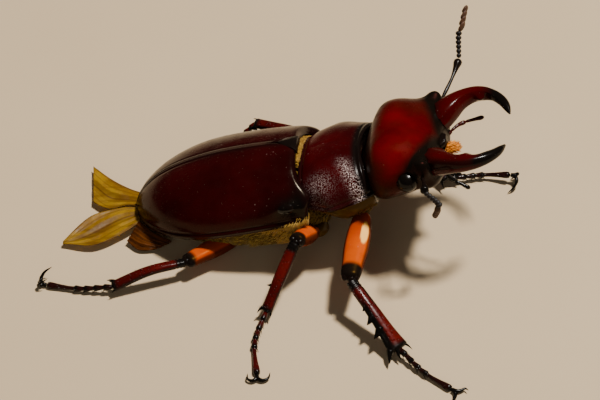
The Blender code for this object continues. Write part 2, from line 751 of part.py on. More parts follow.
def femur(name, start, knee, wide, deep, cutters):
    """The thigh, spindle shaped and flattened."""
    along = (knee - start).normalized()
    ends = [start, (start + knee) / 2, knee - along * 0.12]

    swelling = [(0, 0.66), (0.3, 0.95), (0.55, 1.0), (0.8, 0.86), (1, 0.74)]

    def width(t):
        return wide * rounding(t, 0.10, 0.07) * eased(swelling, t)

    def depth(t):
        return deep * rounding(t, 0.10, 0.07) * eased(swelling, t)

    rings = tube_rings(ends, width, depth, end_stations(5, 0.10, 0.07), UP, 8, (), 2.2)
    made = loft(name, rings, "amber", AMBER)
    for cutter in cutters:
        boolean(made, cutter, "DIFFERENCE")
    return made


def tibia(name, knee, ankle, pair, side, cutter):
    """The shin: it widens to the ankle, with teeth on its outer edge, and a fork at its end."""
    near_wide, near_deep, far_wide, far_deep = PAIRS[pair]["tibia"]
    along = (ankle - knee).normalized()
    start = knee + along * 0.25
    outer = along.cross(UP) * -side
    facing = along.cross(outer).cross(along).normalized()

    depths = [(0, near_deep), (0.5, 0.5 * (near_deep + far_deep)), (1, far_deep)]
    widths = [(0, near_wide), (0.45, near_wide * 1.1), (0.8, far_wide * 0.8), (1, far_wide)]

    def thin(t):
        return rounding(t, 0.05, 0.02) * eased(depths, t)

    def broad(t):
        return rounding(t, 0.05, 0.02) * eased(widths, t)

    stations = {0, 0.015, 0.05, 0.25, 0.92, 0.98, 1.0}
    lobes = []
    for k, t in enumerate(PAIRS[pair]["teeth"]):
        stations |= {t - 0.04, t, t + 0.02}
        lobes.append((t, 90, 0.26 + 0.12 * k if pair == "fore" else 0.26, 0.18))
    fork = (0.75, 1.0) if pair == "fore" else (0.3, 0.5)
    lobes += [(0.92, 90, fork[0], fork[1]), (0.98, 45, 0.15, fork[1]), (0.98, 270, 0.2, 0.45)]
    stations = sorted({round(t, 4) for t in stations})
    spine = [start, (start + ankle) / 2 + UP * PAIRS[pair]["bow"], ankle]
    rings = tube_rings(spine, thin, broad, stations, facing, LEG_SIDES, lobes, 2.2)
    made = loft(name, soled(rings), "cuticle_leg", CUTICLE_LEG)
    boolean(made, cutter, "DIFFERENCE")
    return made


def tarsus(name, ankle, bend, toe, shin_cutter):
    """Four short joints and a long one that carries the claws, on flat soles."""
    start = ankle + (bend - ankle).normalized() * 0.16
    short = TARSUS_JOINTS - 1
    short_share = 0.58
    stations = [0, 0.02]
    girths = [0.12, 0.25]
    for k in range(short):
        low = short_share * k / short
        span = short_share / short
        stations += [low + 0.9 * span, low + 1.08 * span]
        girths += [0.37, 0.25]
    stations += [0.80, 0.9, 0.97, 1.0]
    girths += [0.27, 0.36, 0.35, 0.2]
    sizes = dict(zip(stations, girths))
    rings = tube_rings([start, bend, toe], sizes.get, sizes.get, stations, UP, 6)
    made = loft(name, soled(rings), "cuticle_black", CUTICLE_BLACK)
    boolean(made, shin_cutter, "DIFFERENCE")
    return made


def claws(name, bend, toe, curl, spread, hook):
    """A pair of claws, drawn as one hooked bar across the end of the last joint."""
    along = (toe - bend).to_2d().to_3d().normalized()
    across = along.cross(UP)
    curl = Vector(curl)
    centre = toe + along * 0.36
    arm = [(0.0, 0.06, 0.0), (0.42, 0.32, 0.1), (0.85, 0.35, 0.55), (0.95, 0.35 - hook, 1.25)]
    half = [centre + across * (spread * a) + along * b + curl * c for a, b, c in arm]
    other = [centre - across * (spread * a) + along * b + curl * c for a, b, c in arm[1:]]

    def size(t):
        return 0.07 + 0.19 * math.sin(math.pi * t) ** 1.2

    stations = np.linspace(0, 1, 9)
    rings = tube_rings([*reversed(other), *half], size, size, stations, UP, 5, carried=True)
    return loft(name, soled(rings), "cuticle_black", CUTICLE_BLACK)


def leg(name, plan, pose, cutters):
    pair = plan["pair"]
    knee, ankle, bend, toe = (Vector(plan[key]) for key in ("knee", "ankle", "bend", "toe"))
    socket = pose @ Vector(plan["root"])
    outward = (knee - socket).normalized()
    hip = coxa(f"coxa_{name}", socket, outward, cutters)
    wide, deep = PAIRS[pair]["femur"]
    start = socket + outward * 1.2
    thigh = femur(f"femur_{name}", start, knee, wide, deep, [*cutters, clearance_cutter(hip)])
    side = 1 if name.endswith("left") else -1
    shin = tibia(f"tibia_{name}", knee, ankle, pair, side, clearance_cutter(thigh))
    tarsus(f"tarsus_{name}", ankle, bend, toe, clearance_cutter(shin))
    claws(f"claws_{name}", bend, toe, *plan["claw"])


def stand_on_origin(root):
    """Puts the middle of the beetle's bounding box over the origin, with its soles at Z = 0."""
    bpy.context.view_layer.update()
    graph = bpy.context.evaluated_depsgraph_get()
    corners = []
    for obj in bpy.data.objects:
        if obj.type == "MESH" and not obj.hide_render:
            posed_copy = obj.evaluated_get(graph)
            corners += [posed_copy.matrix_world @ vertex.co for vertex in posed_copy.data.vertices]
    low = Vector([min(p[k] for p in corners) for k in range(3)])
    high = Vector([max(p[k] for p in corners) for k in range(3)])
    root.location = (-(low.x + high.x) / 2, -(low.y + high.y) / 2, -low.z)


def head_parts(frame):
    """The head and everything it carries; each piece is trimmed to fit against it."""
    capsule = head_capsule(frame)
    cutter = clearance_cutter(capsule)
    for side, hand in ((1, "left"), (-1, "right")):
        mandible(f"mandible_{hand}", side, cutter, frame)
        eye(f"eye_{hand}", side, cutter, frame)
    mouth(cutter, frame)
    for name, side, line in ANTENNAE:
        antenna(name, side, line, cutter, frame)
    for name, line in PALPS:
        palp(name, line, cutter, frame)


def main():
    clear_scene()
    root = empty("beetle")
    body = empty("body_pose", root, BODY_POSE)
    forebody = empty("forebody_pose", body, FOREBODY_POSE)
    head_frame = empty("head_pose", forebody, HEAD_POSE)

    wing_cases(body)
    scutellum(body)
    belly = clearance_cutter(abdomen(body))
    thorax = clearance_cutter(hind_thorax(body))
    shield, breast = forebody_halves(forebody)
    head_parts(head_frame)
    cases = [clearance_cutter(bpy.data.objects[name]) for name in ("elytron_left", "elytron_right")]
    hindwings([*cases, belly])

    carriers = {
        "fore": (BODY_POSE @ FOREBODY_POSE, [clearance_cutter(breast)]),
        "middle": (BODY_POSE, [thorax, clearance_cutter(breast)]),
        "hind": (BODY_POSE, [thorax, belly]),
    }
    for name, plan in LEGS.items():
        pose, cutters = carriers[plan["pair"]]
        leg(name, plan, pose, cutters)

    for obj in bpy.data.objects:
        if obj.parent is None and obj is not root:
            obj.parent = root
    stand_on_origin(root)


main()
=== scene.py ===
"""The looks of a male stag beetle: glossy red-brown cuticle, folded golden wing tips and gold hairs.

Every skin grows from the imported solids: a node's facets become a cage, which is smoothed and given
its fine relief. Places are in millimetres, in the frame of the trunk part that carries them.
"""

import json
from math import copysign, cos, hypot, pi, radians, sin, sqrt, tau

import bmesh
import bpy
import numpy as np
from mathutils import Matrix, Vector

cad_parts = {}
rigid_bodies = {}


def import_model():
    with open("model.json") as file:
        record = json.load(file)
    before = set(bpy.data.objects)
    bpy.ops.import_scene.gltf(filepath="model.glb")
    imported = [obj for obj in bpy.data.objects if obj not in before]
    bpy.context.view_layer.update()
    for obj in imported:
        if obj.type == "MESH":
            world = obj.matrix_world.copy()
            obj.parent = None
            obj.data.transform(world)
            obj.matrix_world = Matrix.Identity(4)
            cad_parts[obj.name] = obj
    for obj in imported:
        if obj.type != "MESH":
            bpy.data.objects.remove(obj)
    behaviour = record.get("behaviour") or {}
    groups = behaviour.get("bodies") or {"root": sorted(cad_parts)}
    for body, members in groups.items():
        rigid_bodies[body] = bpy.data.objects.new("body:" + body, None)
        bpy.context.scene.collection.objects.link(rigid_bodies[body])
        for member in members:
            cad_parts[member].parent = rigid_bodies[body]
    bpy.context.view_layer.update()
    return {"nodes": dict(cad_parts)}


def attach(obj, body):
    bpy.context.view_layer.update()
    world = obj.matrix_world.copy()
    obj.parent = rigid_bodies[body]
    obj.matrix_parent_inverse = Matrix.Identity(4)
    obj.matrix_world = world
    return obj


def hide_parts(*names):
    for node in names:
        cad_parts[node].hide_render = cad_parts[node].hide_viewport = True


for leftover in list(bpy.data.objects):
    bpy.data.objects.remove(leftover)
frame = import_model()
NODES = frame["nodes"]

MM = 0.001
UP = Vector((0, 0, 1))
HANDS = (("left", 1), ("right", -1))

# Posture of the trunk, as in the solids: degrees as (pitch, yaw, roll), then places and pivots.
BODY_TURN = (14.5, -0.8, -10.3)
BODY_PLACE = Vector((-0.1, -0.28, 4.62))
FOREBODY_TURN = (4.9, -2.9, 1.4)
FOREBODY_PIVOT = Vector((0, 0, 1.0))
FOREBODY_SHIFT = Vector((0, 0.2, 0.19))
HEAD_TURN = (0.3, -1.4, 2.7)
HEAD_PIVOT = Vector((5.9, 0, 1.5))
HEAD_SHIFT = Vector((0.18, 0.1, 0))
CASE_TIP = Vector((-15.8, -0.035, 0))

# Landmarks of the trunk, each in the frame of its own part.
SHOULDER_KNOB = (-0.8, 5.85, 1.55)
PRONOTUM_BACK = 0.36
PRONOTUM_FRONT = 5.91
PRONOTUM_EDGE = 0.1
EYE_RIDGE = (11.75, 5.2, 2.2)
JAW_TOOTH = (15.5, 4.25, 1.95)
JAW_HOLLOW = (16.4, 4.1, 1.8)
BELLY_PLATES = (-5.1, -1.84)  # where the first ends, and the way from one to the next

# The lowest that the middle of a small part may come, in millimetres above the floor.
SPUR_HEIGHT = 0.04
BRISTLE_HEIGHT = 0.02
HOOK_HEIGHT = 0.12

# Each leg's places, with the root in its carrier's frame and the rest above the floor, and its
# claws' curl, spread and hook.
LEG_KEYS = ("root", "knee", "ankle", "bend", "toe", "claw")
LEGS = {
    "fore_right": (
        (4.9, -2.2, -2.1), (3.95, -11.1, 3.9), (8.35, -16.2, 0.85),
        (10.4, -18.3, 0.42), (12.75, -20.0, 0.28), ((0.12, -0.35, 0.1), 1.0, -0.15)),
    "fore_left": (
        (4.8, 2.0, -2.1), (8.0, 9.1, 4.3), (12.3, 4.45, 0.85),
        (15.6, 5.45, 0.6), (17.8, 5.15, 0.95), ((-0.45, -0.5, -0.66), 0.9, 0.25)),
    "middle_right": (
        (0.75, -3.3, -2.7), (-0.8, -8.0, 5.2), (-3.2, -12.4, 0.9),
        (-3.95, -15.2, 0.42), (-3.58, -19.0, 0.28), ((0.1, 0.45, 0.1), 1.0, 0.25)),
    "middle_left": (
        (0.3, 3.3, -2.7), (0.5, 7.4, 2.8), (-5.5, 9.4, 2.7),
        (-7.2, 8.9, 1.0), (-9.35, 8.25, 0.28), ((0.4, 0.1, 0.1), 1.0, 0.25)),
    "hind_right": (
        (-5.4, -2.4, -2.25), (-10.35, -7.55, 1.85), (-16.7, -9.85, 0.85),
        (-19.6, -9.75, 0.45), (-22.5, -9.25, 0.28), ((0.4, 0.35, 0.8), 0.8, 0.45)),
    "hind_left": (
        (-5.4, 2.4, -2.25), (-2.5, 8.5, 1.6), (-9.2, 7.1, 0.85),
        (-11.4, 6.5, 0.42), (-13.2, 4.6, 0.28), ((0.3, 0.25, 0.06), 0.9, 0.25)),
}

# Half sizes: femur across and deep, then tibia broad and thin at the knee and at the ankle, with
# its bow upward. The tibia's teeth are (share along it, length), and its end spines (root across
# it, way out, way on, lift). stout is the girth of both, and flare widens the ankle.
PAIRS = {
    "fore": dict(
        carrier="forebody", femur=(1.08, 0.75), tibia=(0.54, 0.42, 0.76, 0.40), bow=0.1,
        teeth=((0.36, 0.4), (0.50, 0.8), (0.67, 1.0)),
        spines=((0.9, 1.3, 1.15, 0.0), (0.1, 0.75, 1.5, 0.1), (-0.7, -0.6, 1.0, 0.0)),
        stout=1.9, flare=1.22),
    "middle": dict(
        carrier="body", femur=(0.84, 0.76), tibia=(0.50, 0.38, 0.52, 0.38), bow=0.1,
        teeth=((0.62, 0.5),),
        spines=((0.6, 0.65, 0.35, 0.0), (0.6, 0.5, 0.6, 0.3), (-0.6, -0.4, 0.6, 0.0)),
        stout=1.2, flare=1.0),
    "hind": dict(
        carrier="body", femur=(0.92, 0.68), tibia=(0.42, 0.36, 0.54, 0.38), bow=0.45,
        teeth=((0.62, 0.35),),
        spines=((0.6, 0.7, 0.15, 0.0), (0.6, 0.6, 0.45, 0.3), (-0.6, -0.4, 0.6, 0.0)),
        stout=1.1, flare=1.0),
}
ANTENNAE = {
    "left": ((12.35, 5.25, 2.15), (13.7, 8.95, 3.15), (14.03, 10.85, 4.8), (14.93, 12.4, 6.35)),
    "right": ((11.35, -4.7, 1.5), (12.1, -7.4, 1.7), (12.7, -7.0, -0.3), (11.7, -6.2, -1.9)),
}
PALPS = {
    "left": ((11.8, 1.5, 0.0), (13.4, 3.7, -0.02), (15.3, 4.8, -0.55)),
    "right": ((11.8, -1.4, 0.1), (13.1, -2.9, -0.7), (14.5, -3.3, -1.9)),
}
# The two long edges of each wing tip, its ripple and its folds across.
WINGS = {
    "hindwing_right": (
        ((-14.6, -0.35, 1.25), (-17.0, -0.4, 1.05), (-19.5, -1.45, 0.85), (-21.65, -4.15, 0.6)),
        ((-14.6, -1.75, 1.2), (-16.3, -3.3, 0.95), (-18.6, -4.75, 0.75), (-21.65, -4.45, 0.6)),
        0.12, 1.0),
    "hindwing_left": (
        ((-14.6, -0.1, 1.1), (-16.4, 0.1, 0.95), (-18.0, -0.2, 0.75), (-19.5, 0.75, 0.6)),
        ((-14.6, 1.6, 0.95), (-16.3, 2.4, 0.9), (-17.9, 3.5, 0.8), (-20.0, 5.35, 0.6)),
        0.1, 1.5),
    "hindwing_fold": (
        ((-12.0, -4.3, 1.05), (-13.6, -3.6, 1.3), (-15.1, -2.2, 1.35)),
        ((-13.3, -4.8, 0.58), (-14.9, -4.85, 0.58), (-16.0, -3.95, 0.62)),
        0.1, 1.5),
}


# Places


def posed(turn, shift, pivot=Vector()):
    """A turn about a pivot, then a shift, in millimetres."""
    pitch, yaw, roll = (radians(angle) for angle in turn)
    spin = Matrix.Rotation(yaw, 4, "Z") @ Matrix.Rotation(-pitch, 4, "Y")
    spin = spin @ Matrix.Rotation(roll, 4, "X")
    return Matrix.Translation(pivot + shift) @ spin @ Matrix.Translation(-pivot)


def carriers():
    """The frame of each trunk part, in metres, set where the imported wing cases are."""
    body = posed(BODY_TURN, BODY_PLACE)
    forebody = body @ posed(FOREBODY_TURN, FOREBODY_SHIFT, FOREBODY_PIVOT)
    head = forebody @ posed(HEAD_TURN, HEAD_SHIFT, HEAD_PIVOT)
    backward = body.to_3x3() @ Vector((-1, 0, 0))
    points = [vertex.co for vertex in NODES["elytron_right"].data.vertices]
    tip = max(points, key=lambda p: p.dot(backward)) / MM
    offset = Matrix.Translation(tip - body @ CASE_TIP)
    placed = {}
    poses = {"floor": Matrix.Identity(4), "body": body, "forebody": forebody, "head": head}
    for name, pose in poses.items():
        matrix = offset @ pose
        matrix.translation *= MM
        placed[name] = matrix
    return placed


CARRIERS = carriers()


def floor_place(carrier, point):
    """A point of a carrier's frame as one above the floor, both in millimetres."""
    change = CARRIERS["floor"].inverted() @ CARRIERS[carrier]
    return change @ (Vector(point) * MM) / MM


def eased(knots, t):
    """The value at t of a smooth curve through (t, value) knots."""
    spots, values = zip(*knots)
    slopes = np.gradient(np.array(values, float), np.array(spots, float))
    k = int(np.clip(np.searchsorted(spots, t) - 1, 0, len(spots) - 2))
    span = spots[k + 1] - spots[k]
    u = min(1.0, max(0.0, (t - spots[k]) / span))
    return float(
        (2 * u**3 - 3 * u**2 + 1) * values[k]
        + (u**3 - 2 * u**2 + u) * span * slopes[k]
        + (3 * u**2 - 2 * u**3) * values[k + 1]
        + (u**3 - u**2) * span * slopes[k + 1]
    )


def route(points, t):
    """The point at share t of a smooth curve through these points, spaced by their distances."""
    lengths = np.cumsum([0] + [(b - a).length for a, b in zip(points, points[1:])])
    shares = lengths / lengths[-1]
    return Vector([eased(list(zip(shares, [p[axis] for p in points])), t) for axis in range(3)])


# Materials


class Shading:
    """A material under construction: thin wrappers round its node tree."""

    def __init__(self, name):
        self.material = bpy.data.materials.new(name)
        self.material.use_nodes = True
        self.tree = self.material.node_tree
        self.shader = self.tree.nodes["Principled BSDF"]
        place = self.node("ShaderNodeTexCoord").outputs["Object"]
        self.place = self.node("ShaderNodeMapping", Vector=place, Scale=(1 / MM,) * 3).outputs[0]

    def feed(self, socket, value):
        """Gives a socket a constant or another node's output."""
        if isinstance(value, bpy.types.NodeSocket):
            self.tree.links.new(value, socket)
        else:
            socket.default_value = value

    def set(self, key, value):
        self.feed(self.shader.inputs[key], value)

    def node(self, kind, **settings):
        made = self.tree.nodes.new(kind)
        for key, value in settings.items():
            if key in made.inputs:
                self.feed(made.inputs[key], value)
            else:
                setattr(made, key, value)
        return made

    def noise(self, scale, detail=3.0, stretch=None):
        """Noise between 0 and 1, with this many cells to a millimetre."""
        place = self.place
        if stretch:
            place = self.node("ShaderNodeMapping", Vector=place, Scale=stretch).outputs[0]
        return self.node("ShaderNodeTexNoise", Vector=place, Scale=scale, Detail=detail).outputs[0]

    def scatter(self, scale):
        """The distance from scattered points, with this many cells to a millimetre."""
        return self.node("ShaderNodeTexVoronoi", Vector=self.place, Scale=scale).outputs["Distance"]

    def pits(self, scale, size):
        """0 at the middle of scattered round pits, and 1 between them."""
        return self.ramp(self.scatter(scale), size * 0.4, size)

    def ramp(self, value, low, high, to_low=0.0, to_high=1.0):
        ends = {"From Min": low, "From Max": high, "To Min": to_low, "To Max": to_high}
        made = self.node("ShaderNodeMapRange", interpolation_type="SMOOTHSTEP", Value=value, **ends)
        return made.outputs[0]

    def blend(self, share, first, second):
        """Mixes two colours, each a colour or a socket."""
        made = self.node("ShaderNodeMix", data_type="RGBA", Factor=share)
        for socket, colour in ((made.inputs[6], first), (made.inputs[7], second)):
            self.feed(socket, (*colour, 1) if isinstance(colour, tuple) else colour)
        return made.outputs[2]

    def times(self, first, second):
        made = self.node("ShaderNodeMath", operation="MULTIPLY")
        self.feed(made.inputs[0], first)
        self.feed(made.inputs[1], second)
        return made.outputs[0]

    def paint(self, layer):
        """A value painted on the vertices."""
        return self.node("ShaderNodeAttribute", attribute_name=layer).outputs["Fac"]

    def bump(self, height, distance):
        """Adds a bump of this height in millimetres over what is there."""
        made = self.node("ShaderNodeBump", Strength=1.0, Distance=distance * MM, Height=height)
        below = self.shader.inputs["Normal"].links
        if below:
            self.feed(made.inputs["Normal"], below[0].from_socket)
        self.set("Normal", made.outputs[0])


def cuticle(name, light, deep, black, rough=(0.14, 0.30), pits=2.6, pit_size=0.16, pit_depth=0.02,
            dust_and_highlight=None, grain=(0.52, 0.58), specular=0.2, gloss=(1, 1, 1), umber=(0.030, 0.011, 0.003)):
    """Polished shell: two tones that drift into each other, with fine pits.

    Painted values turn it umber or black, and lay a pale layer over it: dust on most parts, and a
    painted highlight along the wing cases' seam.
    """
    look = Shading(name)
    drift = look.ramp(look.noise(0.22, 4.0), 0.35, 0.68)
    colour = look.blend(drift, deep, light)
    colour = look.blend(look.paint("umber"), colour, umber)
    colour = look.blend(look.paint("black"), colour, black)
    speck = look.ramp(look.scatter(1.1), 0.085, 0.05)
    speck = look.times(speck, look.ramp(look.noise(0.9, 2.0), 0.5, 0.6))
    if dust_and_highlight:
        grains = look.ramp(look.noise(10.5, 2.0), *grain)
        covered = look.times(look.paint("dust_and_highlight"), grains)
        colour = look.blend(look.times(covered, 0.85), colour, dust_and_highlight)
    colour = look.blend(look.times(speck, 0.2), colour, (0.35, 0.25, 0.22))
    look.set("Base Color", colour)
    look.set("Roughness", look.ramp(look.noise(1.3, 5.0), 0.3, 0.75, *rough))
    look.set("Specular IOR Level", specular)
    look.set("Specular Tint", (*gloss, 1))
    look.set("IOR", 1.36)
    look.bump(look.pits(pits, pit_size), pit_depth)
    look.bump(look.noise(5.5, 4.0), 0.006)
    return look.material


def felt(name, light, deep, black):
    """Hair and felted surfaces: soft, with fine streaks."""
    look = Shading(name)
    colour = look.blend(look.ramp(look.noise(3.0, 3.0), 0.3, 0.7), deep, light)
    colour = look.blend(look.paint("black"), colour, black)
    look.set("Base Color", colour)
    look.set("Roughness", look.ramp(look.noise(4.0, 2.0), 0.3, 0.7, 0.38, 0.55))
    look.set("Sheen Weight", 0.08)
    look.set("Specular IOR Level", 0.25)
    look.bump(look.noise(12.0, 3.0), 0.01)
    return look.material


def membrane_look(name, light, deep, vein):
    """Crumpled wing: golden, half translucent, with brown veins."""
    look = Shading(name)
    colour = look.blend(look.ramp(look.noise(0.5, 4.0), 0.35, 0.65), deep, light)
    streaks = look.ramp(look.noise(0.9, 3.0, (0.25, 2.2, 1.0)), 0.5, 0.72)
    colour = look.blend(look.times(streaks, 0.55), colour, vein)
    colour = look.blend(look.paint("black"), colour, vein)
    look.set("Base Color", colour)
    look.set("Roughness", look.ramp(look.noise(1.5, 3.0), 0.3, 0.7, 0.42, 0.6))
    look.set("Specular IOR Level", 0.15)
    look.set("Transmission Weight", 0.42)
    look.set("IOR", 1.35)
    look.bump(look.noise(2.6, 3.0), 0.03)
    return look.material


# Each material's maker, its light, deep and black or vein colours, and what else it is told.
RECIPES = {
    # The wing cases' pale colour is a painted highlight along their seam.
    "cuticle_dark": (
        cuticle, (0.024, 0.0006, 0.0010), (0.013, 0.0004, 0.0006), (0.003, 0.0022, 0.0018), dict(
            dust_and_highlight=(0.42, 0.34, 0.22), grain=(0.3, 0.5), gloss=(1.0, 0.86, 0.66), specular=0.28)),
    "cuticle_wine": (
        cuticle, (0.046, 0.0008, 0.0016), (0.022, 0.0006, 0.0010), (0.004, 0.003, 0.0025), dict(
            dust_and_highlight=(0.62, 0.50, 0.47))),
    "cuticle_red": (
        cuticle, (0.094, 0.0002, 0.0012), (0.042, 0.0002, 0.0008), (0.004, 0.003, 0.002), dict(
            rough=(0.26, 0.44), specular=0.15, gloss=(1.0, 0.22, 0.18), umber=(0.020, 0.006, 0.002))),
    "cuticle_mandible": (
        cuticle, (0.048, 0.0008, 0.0008), (0.024, 0.0006, 0.0006), (0.0035, 0.0025, 0.002), dict(
            rough=(0.14, 0.24), pits=3.5, pit_size=0.2, pit_depth=0.03)),
    "cuticle_brown": (
        cuticle, (0.105, 0.058, 0.005), (0.048, 0.024, 0.002), (0.006, 0.004, 0.002), dict(
            specular=0.12)),
    "cuticle_leg": (
        cuticle, (0.082, 0.0036, 0.0022), (0.036, 0.0016, 0.0012), (0.004, 0.003, 0.0025), dict(
            rough=(0.15, 0.28), pits=3.4, pit_size=0.36, pit_depth=0.09, specular=0.25)),
    "cuticle_black": (
        cuticle, (0.008, 0.004, 0.003), (0.004, 0.003, 0.0025), (0.003, 0.0025, 0.002), {}),
    "cuticle_polished": (
        cuticle, (0.006, 0.0025, 0.002), (0.004, 0.002, 0.0015), (0.003, 0.002, 0.002), dict(
            rough=(0.12, 0.18), specular=0.5)),
    "amber": (
        cuticle, (0.52, 0.072, 0.0004), (0.34, 0.034, 0.0003), (0.006, 0.004, 0.003), dict(
            rough=(0.24, 0.4), dust_and_highlight=(1.0, 0.52, 0.12), grain=(0.1, 0.3), specular=0.1,
            gloss=(1.0, 0.5, 0.05))),
    "antenna_club": (felt, (0.075, 0.030, 0.012), (0.035, 0.016, 0.008), (0.005, 0.003, 0.003), {}),
    "wing_membrane": (
        membrane_look, (0.40, 0.225, 0.006), (0.24, 0.115, 0.003), (0.085, 0.028, 0.002), {}),
    "wing_fold": (
        cuticle, (0.085, 0.024, 0.003), (0.036, 0.009, 0.0015), (0.010, 0.004, 0.002), dict(
            rough=(0.2, 0.34))),
    "gold_bristle": (felt, (0.55, 0.32, 0.035), (0.36, 0.18, 0.015), (0.10, 0.045, 0.008), {}),
    "orange_bristle": (felt, (0.90, 0.36, 0.02), (0.62, 0.18, 0.008), (0.16, 0.03, 0.004), {}),
    "olive_bristle": (felt, (0.34, 0.22, 0.018), (0.16, 0.10, 0.008), (0.035, 0.022, 0.004), {}),
    "eye": (
        cuticle, (0.004, 0.003, 0.002), (0.003, 0.002, 0.002), (0.0, 0.0, 0.0), dict(
            rough=(0.18, 0.24), pit_depth=0.0, specular=0.3)),
}
MATERIALS = {
    name: maker(name, *colours, **rest) for name, (maker, *colours, rest) in RECIPES.items()}
# The record's slot for each material that it doesn't name itself.
SLOTS = {
    "orange_bristle": "gold_bristle", "olive_bristle": "gold_bristle", "wing_fold": "cuticle_brown"}


# Skins that grow from the solids


def cage(node, carrier):
    """A node's facets joined into quads, in its carrier's frame, creased where they turn sharply."""
    bm = bmesh.new()
    bm.from_mesh(NODES[node].data)
    bmesh.ops.remove_doubles(bm, verts=bm.verts, dist=1e-6)
    bmesh.ops.join_triangles(
        bm, faces=bm.faces, angle_face_threshold=radians(50),
        angle_shape_threshold=radians(140))
    bm.transform(CARRIERS[carrier].inverted())
    layer = bm.edges.layers.float.new("crease_edge")
    for edge in bm.edges:
        if len(edge.link_faces) == 2 and edge.calc_face_angle(0) > radians(60):
            edge[layer] = 0.75
    data = bpy.data.meshes.new(node)
    bm.to_mesh(data)
    bm.free()
    return data


def link(obj):
    """Puts an object in the scene."""
    bpy.context.scene.collection.objects.link(obj)
    return obj


def read(items, key, width=3):
    """A value or a vector of each point or face of a mesh."""
    flat = np.empty(len(items) * width, np.float32)
    items.foreach_get(key, flat)
    return flat.reshape(-1, width) if width > 1 else flat


def points_of(data):
    return read(data.vertices, "co").astype(float)


def move_points(data, points):
    data.vertices.foreach_set("co", points.astype(np.float32).ravel())
    data.update()


def paint(data, layer, values):
    """A named value on each point, which the materials read."""
    made = data.attributes.new(layer, "FLOAT", "POINT")
    made.data.foreach_set("value", np.asarray(values).astype(np.float32).ravel())


def subdivided(obj):
    """The mesh that an object's modifiers give."""
    graph = bpy.context.evaluated_depsgraph_get()
    graph.update()
    return bpy.data.meshes.new_from_object(obj.evaluated_get(graph))


def smooth_copy(node, carrier, material, levels, relief, soften):
    """A smooth skin through the corners of a node's cage, then its relief, in place of the node.

    relief(points, normals) gives each point's push outward, in millimetres, and its paint.
    """
    data = cage(node, carrier)
    obj = link(bpy.data.objects.new(f"skin_{node}", data))
    change = obj.modifiers.new("smooth", "SUBSURF")
    change.levels = change.render_levels = 1
    corners = points_of(data)
    held = corners.copy()
    for _ in range(3):
        reached = points_of(subdivided(obj))[: len(corners)]
        held += 0.85 * (corners - reached)
        move_points(data, held)
    change.levels = change.render_levels = levels
    skin = subdivided(obj)
    obj.modifiers.clear()
    obj.data = skin
    if soften:
        bm = bmesh.new()
        bm.from_mesh(skin)
        for _ in range(soften):
            bmesh.ops.smooth_vert(
                bm, verts=bm.verts, factor=0.5, use_axis_x=True, use_axis_y=True, use_axis_z=True)
        bm.to_mesh(skin)
        bm.free()
    if relief:
        points = points_of(skin)
        normals = read(skin.vertex_normals, "vector")
        push, layers = relief(points / MM, normals)
        move_points(skin, points + normals * (np.asarray(push) * MM)[:, None])
        for layer, values in layers.items():
            paint(skin, layer, np.clip(values, 0, 1))
    return settle(obj, carrier, material, [node])


def rise(low, high, values):
    """A smooth rise from 0 at low to 1 at high, for numbers and arrays."""
    u = np.minimum(1, np.maximum(0, (values - low) / (high - low)))
    return u * u * (3 - 2 * u)


def hill(values, width):
    return np.exp(-((values / width) ** 2))


def bead(distance, height=0.055):
    """A raised rim beside an edge, with the groove that sets it off."""
    return height * hill(distance - 0.1, 0.11) - height * hill(distance - 0.36, 0.1)


def near_point(points, spot, reach):
    """1 at a spot, fading to 0 over its reach, on both sides of the body."""
    mirrored = points * (1, 0, 1) + np.abs(points) * (0, 1, 0)
    return np.exp(-np.sum(((mirrored - spot) / reach) ** 2, axis=1))


def unevenness(points, size, height):
    """Slow swells, the same on every run."""
    x, y, z = points.T / size
    crossed = np.sin(x + 1.7 * np.sin(y)) * np.cos(0.8 * z + y)
    return height * (crossed + 0.5 * np.sin(2.3 * x - 1.9 * y + z))


def case_relief(points, normals):
    """The seam's raised edge with a painted highlight along it, the rolled side margin, and the
    shoulder's knob.
    """
    x, y, z = points.T
    outer = rise(-0.1, 0.3, normals[:, 2])
    seam = bead(np.abs(y) - 0.03, 0.03) * rise(-1.7, -2.3, x) * outer
    outward = rise(0.0, 0.4, normals[:, 1] * np.sign(y) - 0.4 * normals[:, 0])
    margin = bead(z + 0.02, 0.07) * outward * rise(0.6, -0.3, x)
    knob = 0.3 * near_point(points, SHOULDER_KNOB, (1.1, 0.6, 0.6))
    push = seam + margin + knob + unevenness(points, 2.1, 0.012) * outer
    # The black over the front edge of the cases, under the pronotum's rim, is partly their own dark
    # base and partly painted shade.
    black = 0.8 * hill(np.abs(y), 0.5) + 0.7 * rise(-0.9, 0.5, x) + 0.5 * hill(z, 0.3)
    black += near_point(points, SHOULDER_KNOB, 1.1)
    # A thin pale line along the seam, clear of the black, is a painted highlight.
    seam_highlight = hill(np.abs(y) - 0.07, 0.045) * rise(-2.0, -3.0, x) * rise(-13.5, -10.0, x) * outer
    umber = 0.9 * rise(0.1, -0.1, z) * rise(0.2, -1.0, x)
    return push, {"black": black * (1 - seam_highlight), "dust_and_highlight": 0.12 * seam_highlight, "umber": umber}


